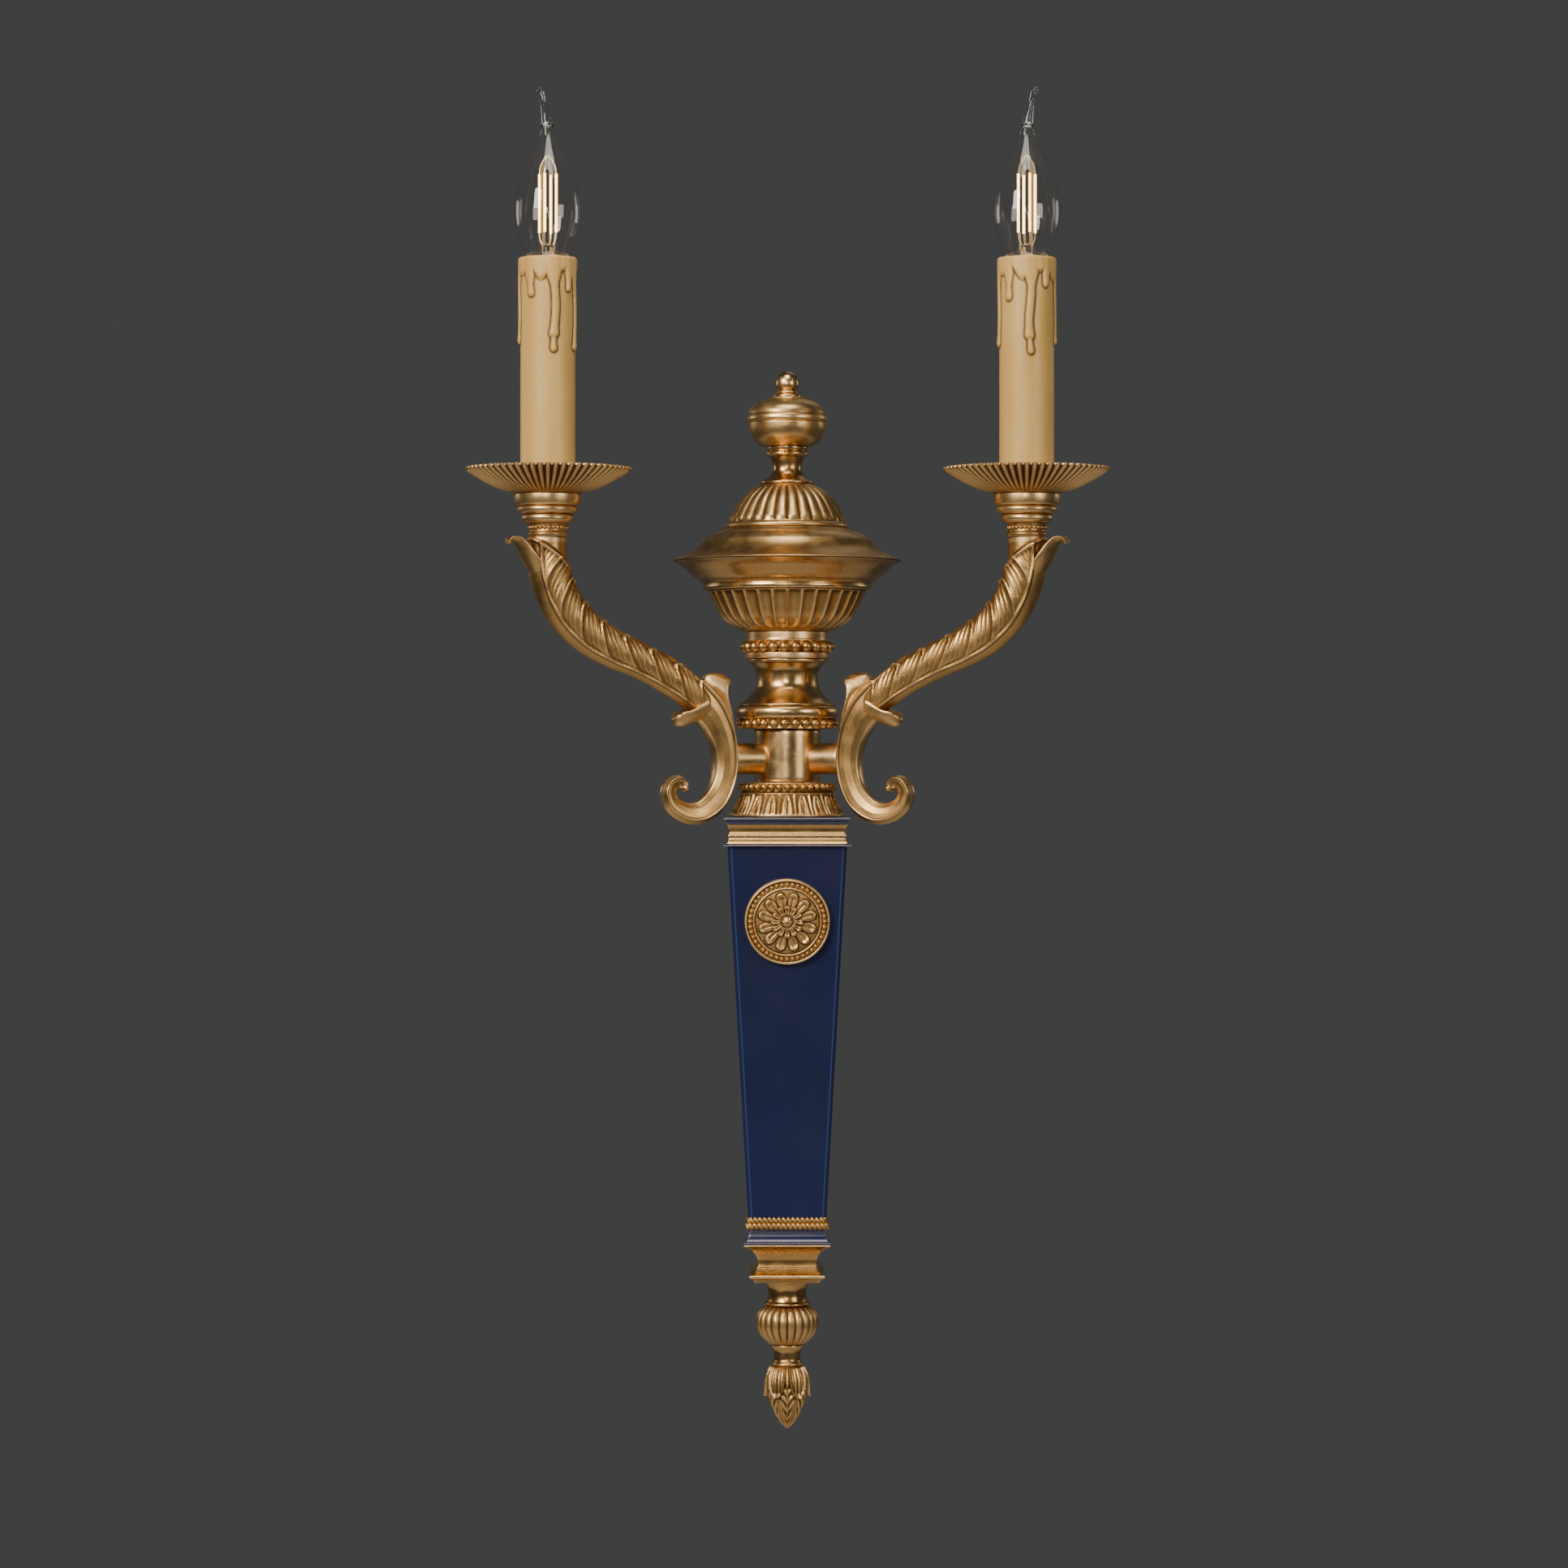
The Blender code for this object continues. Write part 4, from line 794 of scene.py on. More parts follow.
class BeadTree:
    """Geometry Nodes that set beads along a path; stretched and tilted they make a rope."""

    INPUTS = (
        ("Count", "NodeSocketInt"),
        ("Radius", "NodeSocketFloat"),
        ("Stretch", "NodeSocketFloat"),
        ("Tilt", "NodeSocketFloat"),
        ("Finish", "NodeSocketMaterial"),
    )

    def __init__(self) -> None:
        """Builds the tree."""
        self.tree = bpy.data.node_groups.new("beads_on_path", "GeometryNodeTree")
        face = self.tree.interface
        face.new_socket("Path", in_out="INPUT", socket_type="NodeSocketGeometry")
        for name, kind in self.INPUTS:
            face.new_socket(name, in_out="INPUT", socket_type=kind)
        face.new_socket("Beads", in_out="OUTPUT", socket_type="NodeSocketGeometry")
        given, result = self.add("NodeGroupInput"), self.add("NodeGroupOutput")
        curve = self.add("GeometryNodeMeshToCurve")
        spread = self.add("GeometryNodeResampleCurve")
        ball = self.add("GeometryNodeMeshUVSphere")
        ball.inputs["Segments"].default_value = 14
        ball.inputs["Rings"].default_value = 9
        size = self.add("ShaderNodeCombineXYZ")
        longer = self.add("ShaderNodeMath", operation="MULTIPLY")
        along = self.add("FunctionNodeAlignRotationToVector", axis="Z")
        upright = self.add("FunctionNodeAlignRotationToVector", axis="Y", pivot_axis="Z")
        upright.inputs["Vector"].default_value = (0.0, 0.0, 1.0)
        tilt = self.add("FunctionNodeAxisAngleToRotation")
        tilt.inputs["Axis"].default_value = (1.0, 0.0, 0.0)
        turn = self.add("FunctionNodeRotateRotation", rotation_space="LOCAL")
        instance = self.add("GeometryNodeInstanceOnPoints")
        real = self.add("GeometryNodeRealizeInstances")
        smooth = self.add("GeometryNodeSetShadeSmooth")
        painted = self.add("GeometryNodeSetMaterial")
        ball.inputs["Radius"].default_value = 1.0
        joints = (
            (given.outputs["Path"], curve.inputs["Mesh"]),
            (curve.outputs["Curve"], spread.inputs["Curve"]),
            (given.outputs["Count"], spread.inputs["Count"]),
            (given.outputs["Radius"], size.inputs["X"]),
            (given.outputs["Radius"], size.inputs["Y"]),
            (given.outputs["Radius"], longer.inputs[0]),
            (given.outputs["Stretch"], longer.inputs[1]),
            (longer.outputs[0], size.inputs["Z"]),
            (self.add("GeometryNodeInputTangent").outputs["Tangent"], along.inputs["Vector"]),
            (along.outputs["Rotation"], upright.inputs["Rotation"]),
            (given.outputs["Tilt"], tilt.inputs["Angle"]),
            (upright.outputs["Rotation"], turn.inputs["Rotation"]),
            (tilt.outputs["Rotation"], turn.inputs["Rotate By"]),
            (spread.outputs["Curve"], instance.inputs["Points"]),
            (ball.outputs["Mesh"], instance.inputs["Instance"]),
            (turn.outputs["Rotation"], instance.inputs["Rotation"]),
            (size.outputs["Vector"], instance.inputs["Scale"]),
            (instance.outputs["Instances"], real.inputs["Geometry"]),
            (real.outputs["Geometry"], smooth.inputs["Geometry"]),
            (smooth.outputs["Geometry"], painted.inputs["Geometry"]),
            (given.outputs["Finish"], painted.inputs["Material"]),
            (painted.outputs["Geometry"], result.inputs["Beads"]),
        )
        for start, end in joints:
            self.tree.links.new(start, end)

    def add(self, kind: str, **values: object) -> bpy.types.Node:
        """Adds a node."""
        return add_node(self.tree, kind, **values)

    def row(
        self,
        name: str,
        path: np.ndarray,
        closed: bool,
        count: int,
        radius: float,
        finish: Finish,
        stretch: float = 1.0,
        tilt: float = 0.0,
    ) -> bpy.types.Object:
        """Sets one row of beads on a path and dresses it.

        Args:
            name: The piece's name.
            path: Points of the path, in place, in millimetres.
            closed: Whether the path runs back to its start.
            count: Number of beads.
            radius: Radius of a bead, in millimetres.
            finish: What the beads are made of.
            stretch: Length of a bead along the path against its width.
            tilt: Slope of a stretched bead against the path.

        Returns:
            The row as a piece.
        """
        total = len(path)
        edges = [(index, (index + 1) % total) for index in range(total if closed else total - 1)]
        line = bpy.data.meshes.new(name)
        line.from_pydata((path * MM).tolist(), edges, [])
        holder = bpy.data.objects.new(name, line)
        bpy.context.scene.collection.objects.link(holder)
        modifier = holder.modifiers.new("beads", "NODES")
        modifier.node_group = self.tree
        values = dict(Count=count, Radius=radius * MM, Stretch=stretch, Tilt=tilt, Finish=finish.material())
        for socket in self.tree.interface.items_tree:
            if socket.name in values:
                modifier[socket.identifier] = values[socket.name]
        ready = holder.evaluated_get(bpy.context.evaluated_depsgraph_get())
        mesh = bpy.data.meshes.new_from_object(ready)
        bpy.data.objects.remove(holder)
        return dress(name, mesh, finish)


def ring_path(radius: float, height: float, placing: Placing = on_column) -> np.ndarray:
    """A level circle about an axis.

    Args:
        radius: Its radius.
        height: Its level.
        placing: Where the axis stands.

    Returns:
        The circle's points, in place.
    """
    angles = np.linspace(0.0, 2.0 * math.pi, RING_POINTS, endpoint=False)
    circle = np.stack([radius * np.cos(angles), radius * np.sin(angles), np.full(RING_POINTS, height)], -1)
    return placing(circle)


# --- Column ------------------------------------------------------------------------------------


def casting(
    name: str,
    finish: Finish,
    outer: Sequence[Run],
    bore: Callable[[Sequence[Run]], Sequence[Run]] = cast_bore,
    columns: int = 96,
    relief: Optional[Relief] = None,
    step: float = 0.6,
) -> bpy.types.Object:
    """Turns a casting on the column's axis, and dresses it in place of the node of its name.

    Args:
        name: The piece's and the node's name.
        finish: What it is made of.
        outer: Runs of (radius, height) on the outside, from the bottom up.
        bore: Gives the runs of the inside.
        columns: Points round the piece.
        relief: Height of its pattern.
        step: Distance between rows.

    Returns:
        The piece.
    """
    mesh = turned(name, outer, bore(outer), columns, relief, step=step)
    return dress(name, mesh, finish, [name])


@dataclass
class ColumnTop:
    """The turned castings above the hub: bead rings, neck, fluted urn, gadrooned dome and knob."""

    beads: BeadTree
    flutes: int = 32
    flute_depth: float = 1.3
    gadroons: int = 28
    gadroon_depth: float = 1.5
    upper_beads: int = 23
    upper_bead_radius: float = 3.0
    lower_beads: int = 27
    lower_bead_radius: float = 2.65

    def build(self) -> None:
        """Makes every casting from the torus up."""
        self.make_rings()
        self.make_urn()
        self.make_knob()

    def make_rings(self) -> None:
        """The two bead rings and the waisted neck between them."""
        outer = [
            ((24.4, 15.8), (24.2, 18.4), (24.6, 21.0)),
            ((24.6, 21.0), (26.8, 21.6), (27.7, 24.2), (27.1, 26.8), (25.6, 27.9)),
        ]
        casting("beaded_torus", Finish.POLISHED, outer)
        path = ring_path(24.6, 18.5)
        self.beads.row("lower_beads", path, True, self.lower_beads, self.lower_bead_radius, Finish.SATIN)
        outer = [
            ((25.9, 28.2), (25.4, 29.1)),
            (
                (25.4, 29.1),
                (22.6, 30.8),
                (19.1, 34.4),
                (16.7, 38.6),
                (16.3, 42.9),
                (17.0, 47.2),
                (19.6, 50.6),
            ),
            ((19.6, 50.6), (21.3, 51.0)),
            ((21.3, 51.0), (21.4, 52.5)),
        ]
        casting("waisted_neck", Finish.POLISHED, outer)
        outer = [
            ((22.3, 52.8), (22.3, 55.9)),
            ((22.3, 55.9), (21.2, 56.6), (21.0, 59.0), (21.1, 61.6)),
            ((21.1, 61.6), (21.6, 62.4), (21.3, 63.4)),
            ((21.3, 63.4), (21.3, 67.0)),
        ]
        casting("upper_bead_ring", Finish.SATIN, outer)
        path = ring_path(22.3, 59.0)
        self.beads.row("upper_beads", path, True, self.upper_beads, self.upper_bead_radius, Finish.SATIN)

    def bowl_relief(self, angle: np.ndarray, radius: np.ndarray, height: np.ndarray) -> np.ndarray:
        """Hollow flutes with thin arrises between them and round ends at the bottom.

        Args:
            angle: Angle about the axis.
            radius: Distance from the axis.
            height: Height along the axis.

        Returns:
            Height of the flutes, below 0 in their hollows.
        """
        across = lobes(angle, self.flutes)
        floor = np.sqrt(np.clip(1.0 - (across / 0.90) ** 2, 0.0, 1.0))
        end = fade(height, 68.4 + 1.6 * across**2, 70.4 + 1.6 * across**2)
        deep = self.flute_depth * (0.45 + 0.55 * fade(height, 69.0, 78.0))
        return np.where(radius > 20.5, -deep * floor * end, 0.0) * (1.0 - fade(height, 87.4, 88.2))

    def dome_relief(self, angle: np.ndarray, radius: np.ndarray, height: np.ndarray) -> np.ndarray:
        """Round gadroons with a narrow groove on each side.

        Args:
            angle: Angle about the axis.
            radius: Distance from the axis.
            height: Height along the axis.

        Returns:
            Height of the gadroons, below 0 in the grooves.
        """
        across = lobes(angle, self.gadroons)
        round_top = np.sqrt(np.clip(1.0 - (across * 0.985) ** 2, 0.0, 1.0))
        deep = self.gadroon_depth * (0.45 + 0.55 * fade(radius, 14.0, 27.0))
        band = fade(height, 124.7, 126.2) * (1.0 - fade(height, 143.0, 144.4))
        return np.where(radius > 13.0, -deep * (1.0 - round_top) * band, 0.0)

    def make_urn(self) -> None:
        """The fluted bowl, the cove, the lid and the gadrooned dome."""
        outer = [
            (
                (22.4, 67.3),
                (24.6, 68.0),
                (27.9, 69.7),
                (33.7, 73.9),
                (37.8, 80.3),
                (40.6, 86.2),
                (41.9, 88.6),
            ),
        ]
        casting("urn_bowl", Finish.SATIN, outer, columns=432, relief=self.bowl_relief)
        outer = [
            ((43.4, 88.9), (44.7, 89.3), (45.1, 90.6), (44.6, 92.2)),
            (
                (44.6, 92.2),
                (45.0, 92.8),
                (48.3, 95.0),
                (52.6, 98.9),
                (56.6, 102.4),
                (59.2, 103.7),
                (60.3, 104.3),
            ),
        ]
        casting("urn_cove", Finish.POLISHED, outer, columns=192)
        outer = [
            ((60.2, 104.6), (60.7, 105.0), (60.2, 105.5)),
            ((60.2, 105.5), (57.0, 106.3), (52.8, 108.1), (49.0, 110.5), (46.6, 112.9), (45.0, 115.2)),
            ((45.0, 115.2), (42.6, 117.3), (39.6, 118.9), (36.0, 120.1), (34.4, 121.5)),
        ]
        casting("urn_lid", Finish.SATIN, outer, columns=192)
        outer = [
            ((32.6, 121.8), (33.0, 122.4), (33.0, 123.4), (32.2, 124.2)),
            ((32.2, 124.2), (31.3, 124.6)),
            (
                (31.3, 124.6),
                (30.6, 127.4),
                (29.0, 130.2),
                (26.8, 134.0),
                (23.6, 138.3),
                (18.6, 142.6),
                (15.4, 144.5),
            ),
            ((15.4, 144.5), (14.8, 145.0)),
        ]
        casting("gadroon_dome", Finish.SATIN, outer, columns=384, relief=self.dome_relief)

    def make_knob(self) -> None:
        """The spool, the banded knob and the ball on top."""
        outer = [
            ((14.4, 145.3), (14.7, 146.0), (14.2, 146.7)),
            ((14.2, 146.7), (12.8, 147.4)),
            ((12.8, 147.4), (10.2, 148.7), (8.4, 150.8), (7.6, 153.4), (7.8, 156.2), (9.0, 159.4)),
            ((9.0, 159.4), (10.6, 160.0), (11.7, 161.0), (11.3, 162.0), (9.9, 162.5)),
            ((9.9, 162.5), (10.5, 163.2), (10.8, 164.7)),
        ]
        casting("neck_spool", Finish.POLISHED, outer, solid_bore)
        outer = [
            ((12.0, 165.0), (14.6, 166.0), (17.5, 168.3), (19.2, 170.8), (20.1, 173.6), (20.5, 177.4)),
            ((20.5, 177.4), (20.0, 178.0)),
            ((20.0, 178.0), (20.9, 178.6), (21.1, 179.9), (20.9, 181.2)),
            ((20.9, 181.2), (20.1, 181.9)),
            ((20.1, 181.9), (20.4, 182.4)),
            ((20.4, 182.4), (19.7, 184.6), (17.6, 187.0), (14.6, 188.8), (11.6, 189.9)),
            ((11.6, 189.9), (11.2, 191.0)),
        ]
        casting("knob", Finish.SATIN, outer, solid_bore, 128)
        outer = [
            ((7.3, 191.3), (7.4, 191.9), (6.9, 192.7)),
            ((6.9, 192.7), (5.6, 193.1)),
            ((5.6, 193.1), (6.2, 193.6), (6.0, 194.2), (4.7, 194.6)),
            (
                (4.7, 194.6),
                (5.9, 196.4),
                (6.25, 198.8),
                (5.5, 201.6),
                (3.4, 203.9),
                (1.5, 204.7),
                (0.0, 204.8),
            ),
        ]
        bore = straight((0.0, 204.8), (0.0, 196.2), (4.05, 196.2), (4.05, 191.3), (7.3, 191.3))
        mesh = turned("top_ball", outer, bore, 64, step=0.5)
        dress("top_ball", mesh, Finish.POLISHED, ["top_ball"])


@dataclass
class Hub:
    """The plain drum that the arms bolt to, and the leaf collar under it."""

    beads: BeadTree
    leaves: int = 20
    leaf_height: float = 0.9
    collar_beads: int = 36
    bead_radius: float = 2.0

    def build(self) -> None:
        """Makes the drum, the collar and its bead row."""
        outer = straight((17.4, -12.2), (17.6, -11.0), (17.6, 14.6), (17.4, 15.5))
        inner = straight((17.4, 15.5), (14.6, 15.5), (14.6, -12.2), (17.4, -12.2))
        dress("hub_drum", turned("hub_drum", outer, inner), Finish.POLISHED, ["hub_drum"])
        outer = [
            ((30.2, -30.6), (30.5, -30.0), (30.2, -29.2)),
            ((30.2, -29.2), (28.6, -27.0), (26.9, -23.6), (25.7, -20.6), (25.2, -18.2)),
            ((25.2, -18.2), (24.0, -17.4), (23.6, -15.2), (23.8, -13.0)),
            ((23.8, -13.0), (23.4, -12.5)),
        ]
        casting("leaf_collar", Finish.CAST, outer, columns=400, relief=self.leaf_relief, step=0.45)
        path = ring_path(24.4, -15.0)
        self.beads.row("collar_beads", path, True, self.collar_beads, self.bead_radius, Finish.SATIN)

    def leaf_relief(self, angle: np.ndarray, radius: np.ndarray, height: np.ndarray) -> np.ndarray:
        """Upright pointed leaves with a groove on the middle, and reeds between them.

        Args:
            angle: Angle about the axis.
            radius: Distance from the axis.
            height: Height along the axis.

        Returns:
            Height of the leaves and reeds.
        """
        across = lobes(angle + math.pi / self.leaves, self.leaves)
        rise = np.clip((height + 29.4) / 10.4, 0.0, 1.0)
        width = 0.74 * np.sqrt(np.clip(1.0 - rise**2.4, 0.0, 1.0))
        leaf = fade(width - np.abs(across), 0.0, 0.16)
        vein = hump(across, 0.0, 0.09) + 0.6 * hump(np.abs(across) - 0.34 * width, 0.0, 0.06)
        reed = hump(np.abs(across), 1.0, 0.13)
        band = fade(height, -29.6, -28.8) * (1.0 - fade(height, -19.2, -18.5))
        raised = self.leaf_height * (leaf * (1.0 - 0.75 * vein) + 0.8 * reed * (1.0 - leaf)) - 0.35
        return np.where(radius > 23.0, raised * band, 0.0)


@dataclass
class Finial:
    """Neck, melon, spool and leaf bud under the scotia block."""

    lobes: int = 22
    lobe_depth: float = 1.5
    petals: int = 6

    def build(self) -> None:
        """Makes the four turned castings."""
        outer = [
            ((12.1, -288.4), (12.4, -287.8), (11.9, -287.1)),
            ((11.9, -287.1), (10.9, -286.7)),
            ((10.9, -286.7), (10.2, -284.4), (10.1, -281.6), (10.8, -278.6), (12.6, -275.9)),
        ]
        casting("finial_neck", Finish.POLISHED, outer, solid_bore)
        outer = [
            (
                (9.6, -309.2),
                (12.2, -307.0),
                (14.8, -303.8),
                (16.6, -299.2),
                (16.4, -294.8),
                (14.6, -291.4),
                (11.6, -289.4),
                (10.2, -288.7),
            ),
        ]
        casting("finial_melon", Finish.CAST, outer, solid_bore, 352, self.melon_relief)
        outer = [
            ((7.9, -320.4), (8.3, -319.8), (7.9, -319.1)),
            ((7.9, -319.1), (7.2, -318.2), (7.0, -315.0), (7.5, -312.2), (8.6, -310.6)),
            ((8.6, -310.6), (8.8, -310.0), (8.4, -309.5)),
        ]
        casting("finial_spool", Finish.POLISHED, outer, solid_bore, 64)
        outer = [
            (
                (0.0, -354.2),
                (1.6, -353.2),
                (4.0, -350.2),
                (6.4, -346.4),
                (8.8, -341.6),
                (10.4, -337.0),
                (11.2, -332.0),
                (10.9, -327.4),
                (9.2, -323.0),
                (7.2, -320.7),
            ),
        ]
        hole = ((ROD_HOLE, -320.7), (ROD_HOLE, -331.0), (0.0, -331.0))
        bore = straight((7.2, -320.7), *hole, (0.0, -354.2))
        mesh = turned("finial_bud", outer, bore, 288, self.bud_relief, step=0.4)
        dress("finial_bud", mesh, Finish.CAST, ["finial_bud"])

    def melon_relief(self, angle: np.ndarray, radius: np.ndarray, height: np.ndarray) -> np.ndarray:
        """Round ribs that run together at both ends.

        Args:
            angle: Angle about the axis.
            radius: Distance from the axis.
            height: Height along the axis.

        Returns:
            Height of the ribs, below 0 between them.
        """
        across = lobes(angle, self.lobes)
        round_top = np.sqrt(np.clip(1.0 - (across * 0.98) ** 2, 0.0, 1.0))
        band = fade(height, -308.8, -305.0) * (1.0 - fade(height, -292.0, -289.2))
        return np.where(radius > 8.0, -self.lobe_depth * (0.25 + 0.75 * band) * (1.0 - round_top), 0.0)

    def bud_relief(self, angle: np.ndarray, radius: np.ndarray, height: np.ndarray) -> np.ndarray:
        """A ring of curled petals over a ring of veined leaves.

        Args:
            angle: Angle about the axis.
            radius: Distance from the axis.
            height: Height along the axis.

        Returns:
            Height of the petals and leaves.
        """
        across = lobes(angle, self.petals)
        drop = np.clip((-321.0 - height) / 16.0, 0.0, 1.3)
        half = 0.86 * np.sqrt(np.clip(1.0 - np.clip(drop, 0.0, 1.0) ** 3.0, 0.0, 1.0)) + 0.04
        petal = fade(half - np.abs(across), 0.0, 0.14)
        rim = hump(np.abs(across), half - 0.13, 0.10) + hump(drop, 0.94, 0.07) * petal
        vein = hump(across, 0.0, 0.09) + 0.5 * hump(np.abs(across), 0.34, 0.06)
        upper = petal * (0.75 + 0.55 * rim - 0.45 * vein)
        below = lobes(angle + math.pi / self.petals, self.petals)
        fall = np.clip((-330.0 - height) / 22.0, 0.0, 1.0)
        edge = 0.98 - 0.35 * fall
        rib = hump(below, 0.0, 0.10)
        slant = np.cos((np.abs(below) * 1.3 + fall * 4.6) * 2.0 * math.pi)
        leaf = fade(edge - np.abs(below), 0.0, 0.14) * (0.30 + 0.35 * rib + 0.28 * slant * (1.0 - rib))
        raised = 1.7 * np.maximum(upper, leaf * (1.0 - petal)) - 0.7
        ends = fade(height, -353.8, -349.0) * (1.0 - fade(height, -322.4, -321.0))
        return np.where(radius > 0.3, raised * ends, 0.0) * (np.abs(radius - ROD_HOLE) > 0.02)


# --- Square castings ---------------------------------------------------------------------------


def square_ring(half: float, height: float, corner: float, back: float = -WALL_GAP) -> np.ndarray:
    """The edge of a square block seen from above, flat at the wall.

    Args:
        half: Half the block's width, and its reach in front of the axis.
        height: Level of the ring.
        corner: Radius of its two front corners.
        back: Where the flat back lies.

    Returns:
        The ring's points, always as many.
    """
    front = -AXIS_OUT - half
    points = [(-half, y) for y in np.linspace(back, front + corner, SIDE_COLUMNS, endpoint=False)]
    for sign, start in ((-1.0, math.pi), (1.0, 1.5 * math.pi)):
        for turn in np.linspace(0.0, math.pi / 2.0, CORNER_COLUMNS):
            x = sign * (half - corner) + corner * math.cos(start + turn)
            points.append((x, front + corner + corner * math.sin(start + turn)))
        if sign < 0.0:
            edge = half - corner
            middle = [-edge + 0.5, *np.linspace(-edge, edge, 32)[1:-1], edge - 0.5]
            points.extend((x, front) for x in middle)
    points.extend((half, y) for y in np.linspace(front + corner, back, SIDE_COLUMNS + 1)[1:])
    return np.array([(x, y, height) for x, y in points])


def square_block(
    name: str,
    runs: Sequence[Run],
    inner: float,
    web: bool,
    corner: float = 0.5,
    step: float = 0.5,
) -> bpy.types.Mesh:
    """A square casting with a flat back and a hollow that opens at the bottom.

    Args:
        name: The mesh's name.
        runs: Runs of (half width, height) from the bottom up.
        inner: Half width of the hollow.
        web: Whether the top is closed.
        corner: Radius of the upright front corners.
        step: Distance between rows.

    Returns:
        The finished mesh.
    """
    bottom, top = runs[0][0], runs[-1][-1]
    if web:
        line = (top, (0.2, top[1]), (0.2, top[1] - WEB), (inner, top[1] - WEB), (inner, bottom[1]), bottom)
    else:
        line = (top, (inner, top[1]), (inner, bottom[1]), bottom)
    outline = joined_runs([*runs, *straight(*line)], step, 0.3)
    rings = []
    for half, height in outline:
        shrink = min(corner, 0.4 * half)
        back = -WALL_GAP if half > inner + 0.05 else min(-WALL_GAP, -AXIS_OUT + max(half, 0.2) * 1.28)
        rings.append(square_ring(half, height, shrink, back))
    return mark_recesses(tidy(grid_mesh(name, np.array(rings))), 6, 0.2)


@dataclass
class SquareCastings:
    """Capital, rope band, plinth moulding and scotia block."""

    beads: BeadTree
    capital_inner: float = 27.2
    rope_radius: float = 1.35
    rope_beads: int = 64

    def build(self) -> None:
        """Makes the four castings and the two ropes."""
        self.make_capital()
        self.make_rope_band()
        self.make_plinth()

    def make_capital(self) -> None:
        """The brass cavetto between two thin enamelled lips."""
        runs = [
            ((31.9, -44.6), (30.9, -43.0), (30.6, -41.2)),
            ((30.6, -41.2), (31.1, -40.7), (31.1, -40.1), (30.5, -39.6)),
            ((30.5, -39.6), (30.4, -37.8), (30.9, -36.0), (31.8, -34.6)),
        ]
        mesh = square_block("capital", runs, self.capital_inner, True)
        dress("capital", mesh, Finish.POLISHED, ["capital"])
        lips = {
            "capital_top_lip": (
                ((31.5, -34.5), (31.9, -33.4), (33.0, -32.3)),
                ((33.0, -32.3), (33.2, -31.6), (32.8, -30.9)),
            ),
            "capital_low_lip": (
                ((33.3, -46.1), (33.9, -45.7), (33.6, -45.2)),
                ((33.6, -45.2), (32.4, -44.8), (31.8, -44.5)),
            ),
        }
        for name, runs in lips.items():
            dress(name, square_block(name, runs, self.capital_inner, False), Finish.LIP)

    def rope_path(self, half: float, height: float) -> np.ndarray:
        """A level path round the front and both sides of a square block.

        Args:
            half: Half the path's width, and its reach in front of the axis.
            height: Its level.

        Returns:
            The path's points.
        """
        back, front = -1.8, -AXIS_OUT - half
        spots = [(-half, y) for y in np.linspace(back, front, 24)]
        spots += [(x, front) for x in np.linspace(-half, half, 26)[1:-1]]
        spots += [(half, y) for y in np.linspace(front, back, 24)]
        return np.array([(x, y, height) for x, y in spots])

    def make_rope_band(self) -> None:
        """A core with two rows of twisted rope."""
        runs = [((20.9, -246.9), (20.9, -244.2)), ((20.9, -244.2), (20.0, -243.9), (20.0, -241.1))]
        dress("rope_band", square_block("rope_band", runs, 18.0, False), Finish.CAST, ["rope_band"])
        for name, half, height in (("lower_rope", 20.9, -245.5), ("upper_rope", 20.0, -242.5)):
            path = self.rope_path(half, height)
            self.beads.row(name, path, False, self.rope_beads, self.rope_radius, Finish.CAST, 1.7, 0.85)

    def make_plinth(self) -> None:
        """The enamelled moulding and the brass scotia block under it."""
        runs = [
            ((22.9, -255.0), (23.1, -254.7), (22.9, -254.3)),
            ((22.9, -254.3), (21.6, -253.2), (20.6, -251.6), (20.1, -249.6)),
            ((20.1, -249.6), (20.4, -249.1), (20.0, -248.6)),
            ((20.0, -248.6), (19.9, -247.2)),
        ]
        mesh = square_block("plinth_moulding", runs, 17.3, False)
        dress("plinth_moulding", mesh, Finish.LIP, ["plinth_moulding"])
        runs = [
            ((17.3, -275.6), (17.5, -274.6), (18.6, -273.4)),
            ((18.6, -273.4), (19.9, -272.8), (20.1, -272.0), (19.6, -271.4)),
            ((19.6, -271.4), (17.6, -270.2), (16.0, -268.4)),
            ((16.0, -268.4), (16.2, -267.8), (15.6, -267.2)),
            ((15.6, -267.2), (15.5, -264.0), (17.0, -260.4), (19.6, -257.6), (22.6, -256.0)),
            ((22.6, -256.0), (23.1, -255.6), (22.9, -255.3)),
        ]
        mesh = square_block("scotia_block", runs, 13.0, True)
        dress("scotia_block", mesh, Finish.POLISHED, ["scotia_block"])


